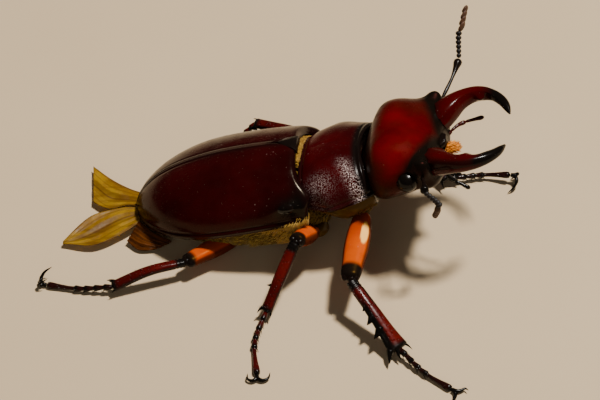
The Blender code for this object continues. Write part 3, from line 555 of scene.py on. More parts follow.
def shield_relief(points, normals):
    """Beads round the pronotum's edge and shallow hollows near its sides."""
    x, y, z = points.T
    across = y / 5.4
    behind = x - (PRONOTUM_BACK - 0.25 * across**2)
    ahead = PRONOTUM_FRONT + 0.75 * across**2 - x
    top = rise(-0.3, 0.2, normals[:, 2])
    push = (bead(behind) + bead(ahead)) * top
    push += bead(z - PRONOTUM_EDGE) * rise(0.2, 0.6, np.abs(normals[:, 1]))
    push -= 0.14 * near_point(points, (2.3, 3.9, 2.3), (1.0, 0.8, 1.2))
    push -= 0.10 * near_point(points, (4.7, 3.6, 2.1), (0.7, 0.9, 1.2))
    push -= 0.03 * hill(y, 0.3) * rise(0.8, 2.0, x) * rise(5.4, 4.2, x)
    push += unevenness(points, 1.6, 0.012)
    black = 0.75 * hill(behind, 0.5) + 0.35 * hill(z - PRONOTUM_EDGE, 0.35)
    # The black band along the front edge, under the head, is partly the pronotum's own dark rim and
    # partly painted shade.
    black += 0.95 * rise(1.0, 0.45, ahead)
    right = y < 0
    along_front = hill(ahead - 1.25 - 0.25 * (y + 3.6), 0.55) * rise(-1.9, -3.9, y)
    along_side = hill(x - 2.3, 1.15) * hill(y + 4.55, 0.75)
    dust_and_highlight = (0.95 * along_front + 0.55 * along_side) * right * rise(0.15, 0.5, ahead)
    return push, {"black": black, "dust_and_highlight": dust_and_highlight}


def head_relief(points, normals):
    """A hollowed brow, the ridge in front of each eye, and dark edges round the jaws."""
    x, y, z = points.T
    top = rise(0.2, 0.7, normals[:, 2])
    push = 0.06 * hill(x - 11.9, 0.25) * rise(3.6, 2.6, np.abs(y)) * top
    push += 0.30 * near_point(points, EYE_RIDGE, (0.75, 0.8, 0.9))
    push += 0.10 * near_point(points, (10.0, 5.0, 2.35), (0.9, 0.8, 0.28))
    push -= 0.10 * near_point(points, (9.9, 5.2, 0.1), (1.0, 0.8, 0.4))
    push -= 0.07 * near_point(points, (10.6, 2.7, 3.2), (1.2, 1.0, 1.2))
    push += unevenness(points, 1.5, 0.015)
    push += unevenness(points, 0.3, 0.03) * near_point(points, (11.0, 4.9, 2.2), (1.2, 1.0, 1.2))
    black = rise(11.15, 12.0, x + 0.25 * np.abs(y) - 0.6)
    black += 1.1 * near_point(points, (11.4, 5.0, 2.4), (1.25, 1.35, 1.3))
    black += 0.8 * near_point(points, (10.3, 5.2, 1.5), (1.35, 1.0, 1.15))
    # The black on the neck, where it goes under the pronotum, is painted shade.
    black += 0.55 * rise(7.0, 5.6, x)
    # The umber at the rear and low on the sides is the head's own colour; its rise towards the left
    # side (+y) is painted shade on that side of the head.
    umber = 0.95 * rise(8.8, 6.6, x) + 0.9 * rise(2.3, 0.8, z) + 0.65 * rise(0.4, 4.6, y)
    umber += 0.22 * unevenness(points, 0.8, 1.0)
    return push, {"black": black, "umber": umber}


def jaw_relief(points, normals):
    """Black from past the tooth to the tip, and a keel along the inner edge."""
    x, y, z = points.T
    black = rise(15.9, 17.2, x) + 0.35 * rise(1.1, 0.4, z) + 0.5 * rise(12.6, 12.0, x)
    turn = np.arctan2(normals[:, 2], -normals[:, 1] * np.sign(y))
    keel = hill(turn - 0.8, 0.28) * rise(12.4, 13.4, x) * rise(18.2, 16.8, x)
    inward = rise(0.1, 0.6, -normals[:, 1] * np.sign(y))
    push = unevenness(points, 0.9, 0.012) + 0.07 * keel
    push += 0.30 * (y < 0) * near_point(points, JAW_TOOTH, (0.42, 0.6, 0.6)) * inward
    push -= 0.10 * near_point(points, JAW_HOLLOW, (0.5, 0.6, 0.7)) * inward
    return push, {"black": black + 0.7 * rise(1.7, 2.5, turn)}


def belly_relief(points, normals):
    """Dark hind edges on the belly plates."""
    end, pace = BELLY_PLATES
    plate = ((points[:, 0] - end) / pace) % 1.0
    return unevenness(points, 1.1, 0.02), {"black": 0.5 * rise(0.75, 0.95, plate)}


def brush_relief(points, normals):
    """Sunk by the depth of its bristles."""
    return unevenness(points, 0.25, 0.05) - 0.14, {"black": 0.5 * rise(13.0, 12.6, points[:, 0])}


def plain_relief(points, normals):
    """Slow swells alone."""
    return unevenness(points, 1.2, 0.02), {"black": 0.0 * points[:, 0]}


# Hair

# A tuft is three rings of three points, and the tip.
TUFT_POINTS = 10
TUFT_FACES = (
    (2, 1, 0), (0, 1, 4, 3), (1, 2, 5, 4), (2, 0, 3, 5), (3, 4, 7, 6), (4, 5, 8, 7), (5, 3, 6, 8),
    (6, 7, 9), (7, 8, 9), (8, 6, 9))
PATCH = 0.003  # side of a tuft's patch in OFBake
SAG = 0.12  # share of a tuft's length that its tip sinks by
ROOT_DEPTH = 0.03


def unit(rows):
    return rows / np.linalg.norm(rows, axis=1)[:, None]


def tufts(name, skin, carrier, material, count, accept, lay, length, girth, seed, lift):
    """Tapering solid tufts rooted on a skin, which lie along it and overlap.

    accept(x, y, z) is the chance of a tuft at each face, and lay the way they lie.
    """
    rng = np.random.default_rng(seed)
    data = skin.data
    centres = read(data.polygons, "center") / MM
    normals = read(data.polygons, "normal")
    chance = read(data.polygons, "area", 1) * accept(*centres.T)
    picked = rng.choice(len(chance), count, p=chance / chance.sum())
    root = centres[picked] + rng.normal(0, 0.03, (count, 3))
    normal = normals[picked]
    along = np.array(lay) + rng.normal(0, 0.16, (count, 3))
    along = unit(along - normal * np.sum(along * normal, axis=1)[:, None])
    heading = unit(along + normal * lift * rng.uniform(0.4, 1.3, (count, 1)))
    across = unit(np.cross(heading, normal))
    over = np.cross(across, heading)
    reach = length * rng.uniform(0.65, 1.2, (count, 1))
    rings = []
    for t, size in ((0.0, 0.8), (0.3, 1.0), (0.65, 0.7)):
        centre = root + heading * reach * t - normal * (ROOT_DEPTH + SAG * reach * t * t)
        for k in range(3):
            angle = tau * k / 3
            way = across * cos(angle) + 0.6 * over * sin(angle)
            rings.append(centre + girth * size * way)
    rings.append(root + heading * reach - normal * SAG * reach)
    points = np.stack(rings, axis=1).reshape(-1, 3) * MM
    faces = [tuple(n * TUFT_POINTS + v for v in face) for n in range(count) for face in TUFT_FACES]
    mesh = bpy.data.meshes.new(name)
    mesh.from_pydata(points.tolist(), [], faces)
    mesh.update()

    # Each tuft is one small patch at its root's place on the skin unrolled round its long axis.
    u = np.arctan2(root[:, 1], root[:, 2]) / tau + 0.5
    v = (root[:, 0] + 20) / 45
    spread = np.array([(k % 3 - 1, k // 3 - 1) for k in range(TUFT_POINTS)]) * PATCH / 2
    places = np.stack([u, v], axis=1)[:, None, :] + spread[None]
    corners = np.empty(len(mesh.loops), np.int32)
    mesh.loops.foreach_get("vertex_index", corners)
    layer = mesh.uv_layers.new(name="OFBake")
    places = np.clip(places.reshape(-1, 2), 0, 1)[corners]
    layer.data.foreach_set("uv", places.astype(np.float32).ravel())
    shade = np.repeat(rng.uniform(0, 0.35, count), TUFT_POINTS).reshape(count, TUFT_POINTS)
    shade[:, :3] += 0.35
    paint(mesh, "black", np.clip(shade, 0, 1))
    return settle(bpy.data.objects.new(name, mesh), carrier, material)


# Pieces drawn afresh


def superellipse(angle, power):
    c, s = cos(angle), sin(angle)
    return copysign(abs(c) ** (2 / power), c), copysign(abs(s) ** (2 / power), s)


def rounding(t, start, end):
    """1 along a tube and 0 at its two ends, following a quarter circle over both shares."""
    near, far = min(1.0, t / start), min(1.0, (1 - t) / end)
    return sqrt(max(0.0, 1 - (1 - near) ** 2) * max(0.0, 1 - (1 - far) ** 2))


def all_black(t, c, s):
    return 1.0


class Skin:
    """Points and faces gathered for one piece, in millimetres, with the paint on each point."""

    def __init__(self):
        self.points, self.faces, self.black, self.dust_and_highlight = [], [], [], []

    def tube(self, line, wide, deep, stations, facing=UP, sides=12, power=2.0, black=None, dust_and_highlight=None,
             carried=False):
        """A closed tube along a line. wide(t) and deep(t) are half sizes, across and along facing.

        black and dust give the paint at a share of its length and a place (c, s) round it. With
        carried, each ring faces as the one before it did, so that a hook has no twist.
        """
        line = [Vector(p) for p in line]
        first = len(self.points)
        nudge = 1e-3
        for t in stations:
            centre = route(line, t)
            tangent = (route(line, min(1, t + nudge)) - route(line, max(0, t - nudge))).normalized()
            side = tangent.cross(facing).normalized()
            lift = side.cross(tangent)
            if carried:
                facing = lift
            for i in range(sides):
                c, s = superellipse(tau * i / sides, power)
                self.points.append(centre + side * (c * wide(t)) + lift * (s * deep(t)))
                self.black.append(black(t, c, s) if black else 0.0)
                self.dust_and_highlight.append(dust_and_highlight(t, c, s) if dust_and_highlight else 0.0)
        for row in range(len(stations) - 1):
            for i in range(sides):
                j = (i + 1) % sides
                a = first + row * sides
                self.faces.append((a + i, a + j, a + sides + j, a + sides + i))
        last = first + (len(stations) - 1) * sides
        self.faces.append(tuple(range(first + sides - 1, first - 1, -1)))
        self.faces.append(tuple(range(last, last + sides)))

    def spine(self, base, tip, size, bend=Vector()):
        """A curved black thorn from its base to its tip."""
        middle = (base + tip) / 2 + bend
        facing = UP if abs((tip - base).normalized().z) < 0.9 else Vector((1, 0, 0))

        def taper(t):
            return max(0.012, size * (1 - t) ** 0.75)

        self.tube([base, middle, tip], taper, taper, np.linspace(0, 1, 7), facing, 8, 2.0, all_black)

    def make(self, name, carrier, material, replaced=(), slot=None):
        """The finished piece, riding on the beetle."""
        data = bpy.data.meshes.new(name)
        data.from_pydata([p * MM for p in self.points], [], self.faces)
        data.update()
        bm = bmesh.new()
        bm.from_mesh(data)
        bmesh.ops.recalc_face_normals(bm, faces=bm.faces)
        bm.to_mesh(data)
        bm.free()
        for layer, values in (("black", self.black), ("dust_and_highlight", self.dust_and_highlight)):
            if any(values):
                paint(data, layer, values)
        return settle(bpy.data.objects.new(name, data), carrier, material, replaced, slot)


def laid(data, place):
    """Brings whatever is under the floor up to it."""
    turn, shift = np.array(place.to_3x3()), np.array(place.translation)
    points = points_of(data) @ turn.T + shift
    if points[:, 2].min() < 0:
        points[:, 2] = np.maximum(points[:, 2], 0)
        move_points(data, (points - shift) @ turn)


def settle(obj, carrier, material, replaced=(), slot=None):
    """Places a piece in its carrier's frame, gives it its material, and hides the nodes that it
    replaces.
    """
    laid(obj.data, CARRIERS[carrier])
    if obj.name not in bpy.context.scene.collection.objects:
        link(obj)
    obj.data.shade_smooth()
    obj.data.materials.clear()
    obj.data.materials.append(MATERIALS[material])
    obj.matrix_world = CARRIERS[carrier]
    slot or SLOTS.get(material, material)
    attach(obj, "root")
    if replaced:
        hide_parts(*replaced)
    return obj


# Legs


def thigh(name, plan):
    """A swollen femur, black at the knee and edges, and the two lobes that hold the tibia."""
    pair = PAIRS[name.split("_")[0]]
    wide, deep = pair["femur"]
    socket = floor_place(pair["carrier"], plan["root"])
    knee = Vector(plan["knee"])
    along = (knee - socket).normalized()
    start = socket + along * 1.05
    end = knee + along * 0.05
    swelling = [(0, 0.66), (0.3, 0.95), (0.55, 1.0), (0.8, 0.86), (1, 0.76)]

    def swell(t):
        return rounding(t, 0.10, 0.06) * eased(swelling, t)

    def black(t, c, s):
        edge = 0.85 * rise(0.72, 0.93, abs(c))
        dark = 0.87 if "hind" in name else 0.80
        shade = 0.5 * rise(0.42, 0.05, t) * rise(0.5, -0.2, c if "left" in name else -c)
        return max(rise(dark, dark + 0.07, t + 0.03 * s), edge, rise(0.06, 0.0, t) * 0.6, shade)

    def dust_and_highlight(t, c, s):
        if "fore" not in name or s < 0.1:
            return 0.0
        ahead = c if "left" in name else -c
        reach = hypot((ahead - 0.52) / 0.30, (t - 0.36) / 0.17)
        return 1.5 * rise(1.1, 0.75, reach)

    stations = [0, 0.006, 0.025, 0.06, *np.linspace(0.1, 0.9, 48), 0.93, 0.955, 0.975, 0.99, 0.998, 1]
    skin = Skin()
    skin.tube([start, (start + end) / 2, end], lambda t: wide * swell(t), lambda t: deep * swell(t),
              stations, UP, 48, 2.2, black, dust_and_highlight)
    skin.make(f"femur_{name}_skin", "floor", "amber", [f"femur_{name}"])

    lobes = Skin()
    across = along.cross(UP).normalized()
    for turn in (-1, 1):
        centre = knee + across * (turn * wide * 0.42) - along * 0.25
        joint_knob(lobes, centre - along * 0.5, centre + along * 0.42, 0.36)
    lobes.make(f"knee_lobes_{name}", "floor", "cuticle_black")


def joint_knob(skin, near, far, size):
    """A smooth oval swelling between two points."""
    def girth(t):
        return size * rounding(t, 0.5, 0.5)

    skin.tube([near, (near + far) / 2, far], girth, girth,
              [0, 0.02, 0.08, 0.2, 0.35, 0.5, 0.65, 0.8, 0.92, 0.98, 1], UP, 12)


def shin(name, plan):
    """A tibia ringed below the knee, with its row of beads, its teeth and its end spines."""
    pair = PAIRS[name.split("_")[0]]
    near_wide, near_deep, far_wide, far_deep = pair["tibia"]
    knee, ankle = Vector(plan["knee"]), Vector(plan["ankle"])
    socket = floor_place(pair["carrier"], plan["root"])
    along = (ankle - knee).normalized()
    outer = (along.cross(UP) * (-1 if "left" in name else 1)).normalized()
    flat = outer.cross(along)
    start = knee + along * 0.12
    widths = [(0, near_wide), (0.45, near_wide * 1.1), (0.8, far_wide * 0.95),
              (1, far_wide * pair["flare"])]
    depths = [(0, near_deep), (0.5, 0.5 * (near_deep + far_deep)), (1, far_deep)]

    def ringed(t):
        rings = 0.05 * (1 + cos(tau * t / 0.045)) * rise(0.17, 0.13, t)
        return (1 - rings) * rounding(t, 0.03, 0.03)

    def broad(t):
        return ringed(t) * eased(widths, t)

    def thin(t):
        return ringed(t) * eased(depths, t)

    def black(t, c, s):
        ends = max(rise(0.17, 0.10, t), rise(0.88, 0.96, t))
        toothed = rise(0.40, 0.65, s) if "fore" in name else rise(0.72, 0.95, s)
        smooth_side = rise(0.35, 0.7, -s) * rise(0.55, 0.3, t) if "fore" in name else 0
        return max(ends, toothed * rise(0.15, 0.4, t), smooth_side, 0.8 * rise(0.75, 0.95, -s))

    rows = [0, 0.004, 0.015, *np.linspace(0.03, 0.17, 15), *np.linspace(0.2, 0.95, 24),
            0.965, 0.98, 0.993, 1]
    spine = [start, (start + ankle) / 2 + UP * pair["bow"], ankle]
    skin = Skin()
    skin.tube(spine, thin, broad, rows, outer, 20, 2.3, black)
    skin.make(f"tibia_{name}_skin", "floor", "cuticle_leg", [f"tibia_{name}"])

    thorns = Skin()
    thigh_way = (knee - socket).normalized()
    joint_knob(thorns, knee - thigh_way * 0.5, knee + along * 0.4, 0.4)
    beads = Skin()
    for k in range(7):
        t = 0.24 + 0.085 * k
        place = route(spine, t) + UP * (thin(t) * 0.86) + outer * (0.12 * (-1) ** k)
        joint_knob(beads, place - along * 0.16, place + along * 0.16, 0.1)
    beads.make(f"beads_{name}", "floor", "cuticle_leg")
    for t, reach in pair["teeth"]:
        root = route(spine, t) + outer * (broad(t) * 0.72)
        size = (0.09 + 0.14 * reach) * pair["stout"]
        tip = root + outer * reach + along * reach * 0.55
        thorns.spine(root - outer * 0.1, tip, size, along * 0.05)
    if "fore" in name:
        flange = [route(spine, t) + outer * (broad(t) * 0.8) for t in (0.30, 0.6, 0.97)]
        thorns.tube(flange, lambda t: 0.2 * rounding(t, 0.2, 0.1),
                    lambda t: (0.14 + 0.18 * t) * rounding(t, 0.2, 0.1),
                    [0, 0.02, 0.06, *np.linspace(0.12, 0.9, 14), 0.96, 0.985, 1], outer, 12, 2.2,
                    all_black)
    for place, out, ahead, lift in pair["spines"]:
        root = ankle - along * 0.35 + outer * (broad(0.94) * place) + flat * lift
        tip = root + outer * (out * 0.6) + along * (0.35 + ahead * 0.55)
        tip.z = max(tip.z, SPUR_HEIGHT)
        size = (0.11 + 0.05 * abs(out)) * (pair["stout"] if out > 0 else 1)
        thorns.spine(root, tip, size, outer * copysign(0.07, out))
    thorns.make(f"thorns_{name}", "floor", "cuticle_black")


# The short joints of a foot, and their share of its length.
SHORT_JOINTS = 4
SHORT_SHARE = 0.58


def foot(name, plan):
    """Four short flared joints and a long one, with bristles beneath them and a pair of hooks."""
    knee, ankle, bend, toe = (Vector(plan[key]) for key in ("knee", "ankle", "bend", "toe"))
    start = ankle - (ankle - knee).normalized() * 0.12
    line = [start, bend, toe]
    knots = [(0.0, 0.13)]
    for k in range(SHORT_JOINTS):
        low, span = SHORT_SHARE * k / SHORT_JOINTS, SHORT_SHARE / SHORT_JOINTS
        knots += [(low + 0.1 * span, 0.19), (low + 0.4 * span, 0.23), (low + 0.8 * span, 0.29),
                  (low + 0.93 * span, 0.27), (low + 0.995 * span, 0.20)]
    knots += [(0.60, 0.18), (0.66, 0.18), (0.8, 0.23), (0.9, 0.29), (0.95, 0.31), (0.98, 0.27),
              (1.0, 0.06)]
    spots, girths = zip(*knots)
    stations = sorted(set(spots) | set(np.linspace(0.62, 0.94, 9)))

    def size(t):
        return float(np.interp(t, spots, girths))

    def black(t, c, s):
        joint = t * SHORT_JOINTS / SHORT_SHARE % 1.0 if t < SHORT_SHARE else 0.0
        bare = 0.3 if "middle" in name else 0.85
        return max(bare, rise(0.5, 0.8, joint), rise(0.9, 0.97, t))

    skin = Skin()
    skin.tube(line, size, size, stations, UP, 14, 2.0, black)
    for k in range(SHORT_JOINTS):
        t = SHORT_SHARE * (k + 0.86) / SHORT_JOINTS
        centre = route(line, t)
        ahead = (route(line, t + 0.01) - centre).normalized()
        across = ahead.cross(UP).normalized()
        for turn in (-1, 1):
            root = centre + across * (turn * 0.2) - UP * 0.1
            tip = centre + across * (turn * 0.36) + ahead * 0.26 - UP * 0.28
            tip.z = max(tip.z, BRISTLE_HEIGHT)
            skin.spine(root, tip, 0.05)
    skin.make(f"tarsus_{name}_skin", "floor", "cuticle_leg", [f"tarsus_{name}"], "cuticle_black")

    along = (toe - bend).to_2d().to_3d().normalized()
    across = along.cross(UP)
    curl, spread, hook = plan["claw"]
    curl = Vector(curl)
    hooks = Skin()
    arm = ((0.0, -0.3, 0.0), (0.06, 0.02, 0.0), (0.42, 0.32, 0.1), (0.85, 0.35, 0.55),
           (0.95, 0.35 - hook, 1.25))
    taper = [(0, 0.19), (0.2, 0.19), (0.5, 0.14), (0.8, 0.08), (1, 0.015)]

    def thinning(t):
        return eased(taper, t)

    for turn in (-1, 1):
        points = [toe + along * (0.36 + b) + across * (turn * spread * a) + curl * c for a, b, c in arm]
        for point in points:
            point.z = max(point.z, HOOK_HEIGHT)
        hooks.tube(points, thinning, thinning, np.linspace(0, 1, 17), UP, 10, 2.0, all_black,
                   carried=True)
    hooks.spine(toe + along * 0.1, toe + along * 0.7, 0.07)
    hooks.make(f"claws_{name}_skin", "floor", "cuticle_black", [f"claws_{name}"])


# Feelers and mouth


def antenna(hand, side):
    """The stalk up to the elbow, six beads, and a club of four felted plates."""
    root, elbow, club, tip = (Vector(p) for p in ANTENNAE[hand])
    sag = (elbow - root).cross(UP).normalized() * 0.12 * side
    stalk_knots = [(0, 0.12), (0.1, 0.16), (0.6, 0.17), (0.8, 0.28), (0.93, 0.38), (1, 0.30)]

    def stalk_size(t):
        return rounding(t, 0.02, 0.06) * eased(stalk_knots, t)

    stalk = Skin()
    stalk.tube([root - (elbow - root) * 0.05, (root + elbow) / 2 + sag, elbow], stalk_size, stalk_size,
               [0, 0.005, 0.02, *np.linspace(0.05, 0.94, 18), 0.97, 0.99, 1], UP, 14, 2.0)
    stalk.make(f"antenna_{hand}_stalk", "head", "cuticle_black", [f"antenna_{hand}_scape"])

    lash = Skin()
    beads, plates = 6, 4
    start = elbow + (club - elbow).normalized() * 0.1
    line = [start, club, tip]
    for k in range(beads):
        low, high = 0.5 * k / beads, 0.5 * (k + 1) / beads
        ends = [route(line, low), route(line, (low + high) / 2), route(line, high + 0.01)]

        def girth(t):
            return (0.23 + 0.012 * k) * rounding(t, 0.55, 0.45)

        lash.tube(ends, girth, girth, [0.03, 0.08, 0.2, 0.35, 0.5, 0.65, 0.8, 0.92, 0.97],
                  UP, 12, 2.0, all_black)
    axis = (tip - club).normalized()
    fan = axis.cross(UP).normalized() * side
    for k in range(plates):
        low = 0.5 + 0.115 * k
        base = route(line, low)
        end = route(line, min(1.0, low + 0.20 - 0.01 * k)) + fan * (0.40 - 0.06 * k)
        lash.tube([base, (base + end) / 2 + fan * 0.05, end],
                  lambda t: 0.27 * rounding(t, 0.35, 0.5), lambda t: 0.17 * rounding(t, 0.35, 0.5),
                  [0.01, 0.05, 0.15, 0.3, 0.45, 0.6, 0.75, 0.88, 0.96, 0.995], fan, 14, 2.2)
    lash.make(f"antenna_{hand}_lash", "head", "antenna_club", [f"antenna_{hand}_club"])


def palp(hand):
    """Three slender joints, each wider at its far end."""
    line = [Vector(p) for p in PALPS[hand]]
    skin = Skin()
    for k in range(3):
        low, high = k / 3, (k + 1) / 3
        ends = [route(line, max(0, low - 0.01)), route(line, (low + high) / 2), route(line, high)]
        swell = [(0, 0.13), (0.5, 0.16), (0.85, 0.20), (1, 0.17)]

        def size(t):
            return eased(swell, t) * rounding(t, 0.08, 0.14)

        # The right palp is painted nearly black as painted shade, for it lies in the shadow below the
        # head.
        def black(t, c, s):
            return min(1.0, 0.2 * k + 0.3 * t + (0.1 if hand == "left" else 0.8))

        skin.tube(ends, size, size, [0.005, 0.03, 0.08, *np.linspace(0.15, 0.85, 9), 0.92, 0.97, 0.995],
                  UP, 12, 2.0, black)
    skin.make(f"palp_{hand}_skin", "head", "cuticle_leg", [f"palp_{hand}"])


# Wing tips


def wing(name):
    """A thin crumpled membrane with raised veins, stretched between two edges."""
    near, far, ripple, folds = WINGS[name]
    near, far = [Vector(p) for p in near], [Vector(p) for p in far]
    rows, columns = 60, 40
    wall = 0.07
    phase = len(name)
    pleats = 6.3 if name == "hindwing_fold" else 3.1
    skin = Skin()
    sheet, veins_and_panel_shade = [], []
    for r in range(rows):
        along = r / (rows - 1)
        start, end = route(near, along), route(far, along)
        for c in range(columns):
            share = c / (columns - 1)
            spot = start.lerp(end, share)
            swing = sin(pi * along)
            spot.z += ripple * swing * cos(tau * folds * share)
            pleat = share * pleats + 0.35 * sin(3 * along + phase)
            crease = abs(pleat % 1.0 - 0.5)
            vein = hill(crease, 0.05)
            wrinkle = sin(17 * along + 5 * sin(4 * share + phase))
            wrinkle *= sin(9 * share + phase)
            rim = hill(min(share, 1 - share), 0.03)
            spot.z += 0.05 * vein - 0.11 * (1 - 2 * crease) + 0.025 * wrinkle + 0.04 * rim
            spot.z = max(spot.z, wall + 0.03)
            # Alternate fold panels are painted darker: painted shade for the facets that turn from the
            # light. Veins and rims are darker in their own colour.
            panel_shade = 0.42 * (pleat // 1 % 2)
            sheet.append(spot)
            veins_and_panel_shade.append(panel_shade + 0.6 * vein + 0.35 * rim)
    for level in (0, wall):
        skin.points += [spot - UP * level for spot in sheet]
        skin.black += veins_and_panel_shade
    size = rows * columns

    def index(r, c, under=0):
        return under * size + r * columns + c

    for r in range(rows - 1):
        for c in range(columns - 1):
            ring = ((r, c), (r, c + 1), (r + 1, c + 1), (r + 1, c))
            skin.faces.append(tuple(index(*place) for place in ring))
            skin.faces.append(tuple(index(*place, 1) for place in (ring[0], *ring[:0:-1])))
    border = [(0, c) for c in range(columns - 1)]
    border += [(r, columns - 1) for r in range(rows - 1)]
    border += [(rows - 1, c) for c in range(columns - 1, 0, -1)]
    border += [(r, 0) for r in range(rows - 1, 0, -1)]
    for (r, c), (r2, c2) in zip(border, border[1:] + border[:1]):
        skin.faces.append((index(r, c), index(r, c, 1), index(r2, c2, 1), index(r2, c2)))
    material = "wing_fold" if name == "hindwing_fold" else "wing_membrane"
    skin.make(f"{name}_membrane", "floor", material, [name])


def shoulder_knob(hand, side):
    """The polished swelling on a wing case's front corner."""
    x, y, z = SHOULDER_KNOB
    skin = Skin()
    near = Vector((x - 1.1, side * (y - 0.1), z - 0.15))
    far = Vector((x + 0.9, side * (y - 0.22), z - 0.05))
    joint_knob(skin, near, far, 0.58)
    skin.make(f"shoulder_knob_{hand}", "body", "cuticle_polished", slot="cuticle_dark")


# Each trunk part's frame, material, levels of smoothing, relief, and rounds of softening.
TRUNK = (
    ("elytron_left elytron_right", "body", "cuticle_dark", 4, case_relief, 2),
    ("scutellum", "body", "cuticle_black", 3, None, 2),
    ("hind_thorax", "body", "cuticle_brown", 3, plain_relief, 2),
    ("abdomen", "body", "cuticle_brown", 3, belly_relief, 1),
    ("pronotum", "forebody", "cuticle_wine", 4, shield_relief, 4),
    ("prosternum", "forebody", "cuticle_brown", 3, plain_relief, 2),
    ("head", "head", "cuticle_red", 4, head_relief, 8),
    ("labrum", "head", "cuticle_black", 3, None, 2),
    ("mouth_brush", "head", "orange_bristle", 3, brush_relief, 2),
    ("eye_left eye_right", "head", "eye", 3, None, 0),
    ("mandible_left mandible_right", "head", "cuticle_mandible", 4, jaw_relief, 12),
)
skins, homes = {}, {}
for nodes, carrier, *rest in TRUNK:
    for node in nodes.split():
        skins[node] = smooth_copy(node, carrier, *rest)
        homes[node] = carrier
for hand, side in HANDS:
    antenna(hand, side)
    palp(hand)
for name in WINGS:
    wing(name)
for hand, side in HANDS:
    shoulder_knob(hand, side)
for name, places in LEGS.items():
    plan = dict(zip(LEG_KEYS, places))
    smooth_copy(f"coxa_{name}", "floor", "cuticle_brown", 2, None, 1)
    thigh(name, plan)
    shin(name, plan)
    foot(name, plan)


def margin_chance(x, y, z):
    """Along the folded margin under the shoulder, thinning backward."""
    return rise(0.1, -0.25, z) * rise(-4.2, -1.0, x) + rise(0.7, 0.0, z) * rise(-1.5, -0.2, x)


# Each hair piece's node, material, count and chance, the way it lies, its length, girth, seed and lift.
HAIR = {
    "hair_pronotum_hind_edge": (
        "pronotum", "gold_bristle", 1900,
        lambda x, y, z: ((np.abs(x - 0.3) < 0.22) & (z > 1.2))
        * (0.03 + rise(-2.0, -0.5, y) * rise(4.9, 4.4, y)),
        (-1.0, 0, 0), 0.62, 0.034, 1, 0.3),
    "hair_pronotum_front_edge": (
        "pronotum", "gold_bristle", 350,
        lambda x, y, z: ((x > 5.75) & (z > 0.9)) * rise(3.6, 4.4, y),
        (1.0, 0, 0), 0.5, 0.035, 2, 0.3),
    "hair_thorax": (
        "hind_thorax", "olive_bristle", 9000,
        lambda x, y, z: (z < 0.5) * (0.12 + rise(1.6, 4.0, np.abs(y))),
        (-1.0, 0, -0.35), 0.62, 0.032, 3, 0.1),
    "hair_shoulder": (
        "hind_thorax", "gold_bristle", 1800,
        lambda x, y, z: (x > -2.6) * (z < 0.2) * rise(2.6, 3.6, np.abs(y)),
        (-1.0, 0, -0.6), 0.6, 0.034, 7, 0.2),
    "hair_case_margin": (
        "elytron_right", "gold_bristle", 2200, margin_chance, (-0.8, 0, -1.0), 0.75, 0.022, 8, 0.12),
    "hair_case_margin_left": (
        "elytron_left", "gold_bristle", 2200, margin_chance, (-0.8, 0, -1.0), 0.75, 0.022, 9, 0.12),
    "hair_abdomen": (
        "abdomen", "olive_bristle", 7000,
        lambda x, y, z: (z < 0.3) * (0.06 + rise(0.5, 0.85, np.abs(y) / 6)),
        (-1.0, 0, -0.15), 0.55, 0.03, 4, 0.08),
    "hair_prosternum": (
        "prosternum", "olive_bristle", 1200,
        lambda x, y, z: (z < -1.6) * (x > 0.5), (-1.0, 0, -0.3), 0.4, 0.028, 5, 0.15),
    "hair_mouth": (
        "mouth_brush", "orange_bristle", 320,
        lambda x, y, z: 0 * x + 1, (1.0, 0, 0.1), 0.46, 0.055, 6, 0.7),
}
for name, (node, *rest) in HAIR.items():
    tufts(name, skins[node], homes[node], *rest)

# Every skin takes its place into its own points, so that its box is square to the floor.
for piece in list(bpy.context.scene.collection.objects):
    if piece.type == "MESH" and piece.name not in NODES:
        piece.data.transform(piece.matrix_world)
        piece.matrix_world = Matrix.Identity(4)


# Camera, light and floor

CAMERA_ANGLES = (3.93, 44.65, -1.42)  # azimuth, elevation and roll, in degrees
CAMERA_DISTANCE = 222.88
CAMERA_TARGET = Vector((-0.77, -1.62, 3.85))
CAMERA_LENS = 152.44
FLOOR_HALF_WIDTH = 1.2


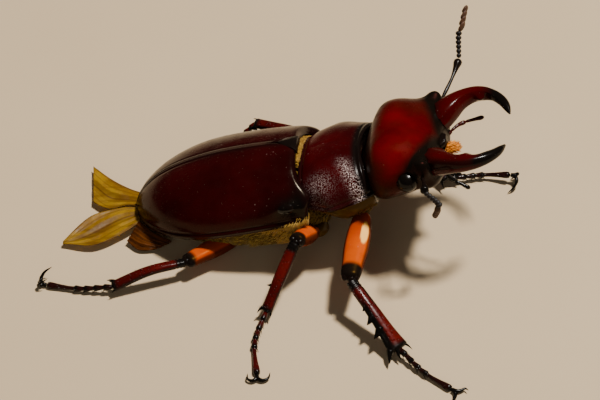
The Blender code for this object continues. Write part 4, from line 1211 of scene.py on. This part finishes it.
def camera():
    """Looks down at the beetle's right side from well away, a little rolled."""
    azimuth, elevation, roll = (radians(angle) for angle in CAMERA_ANGLES)
    target = CARRIERS["floor"] @ (CAMERA_TARGET * MM)
    turn = Matrix.Rotation(azimuth, 4, "Z") @ Matrix.Rotation(pi / 2 - elevation, 4, "X")
    turn = turn @ Matrix.Rotation(roll, 4, "Z")
    data = bpy.data.cameras.new("camera")
    data.lens = CAMERA_LENS
    data.clip_start = 0.01
    data.clip_end = 10
    obj = link(bpy.data.objects.new("camera", data))
    back = Matrix.Translation((0, 0, CAMERA_DISTANCE * MM))
    obj.matrix_world = Matrix.Translation(target) @ turn @ back
    bpy.context.scene.camera = obj


def area_light(name, place, size, power, colour, glossy=True):
    """A square soft light at a place in millimetres, aimed at the beetle."""
    data = bpy.data.lights.new(name, "AREA")
    data.size = size * MM
    data.energy = power
    data.color = colour
    obj = link(bpy.data.objects.new(name, data))
    spot = Vector(place) * MM
    turn = (-spot).to_track_quat("-Z", "Y").to_matrix().to_4x4()
    obj.matrix_world = Matrix.Translation(spot) @ turn
    obj.visible_glossy = glossy


def studio():
    """A small bright lamp above, a wide dim one in front, a faint room and a plain pale floor."""
    area_light("overhead", (126, 48, 395), 46, 3.3, (1.0, 0.95, 0.88))
    area_light("fill", (-60, -420, 260), 300, 0.45, (1.0, 0.97, 0.93), glossy=False)
    world = bpy.data.worlds.new("room")
    world.use_nodes = True
    backdrop = world.node_tree.nodes["Background"]
    backdrop.inputs["Color"].default_value = (0.85, 0.82, 0.75, 1)
    backdrop.inputs["Strength"].default_value = 0.045
    bpy.context.scene.world = world

    bm = bmesh.new()
    bmesh.ops.create_grid(bm, x_segments=8, y_segments=8, size=FLOOR_HALF_WIDTH)
    data = bpy.data.meshes.new("floor")
    bm.to_mesh(data)
    bm.free()
    look = Shading("floor")
    colour = look.blend(look.noise(0.05, 3.0), (0.49, 0.37, 0.225), (0.53, 0.405, 0.255))
    look.set("Base Color", colour)
    look.set("Roughness", 0.9)
    data.materials.append(look.material)
    floor = link(bpy.data.objects.new("floor", data))


camera()
studio()
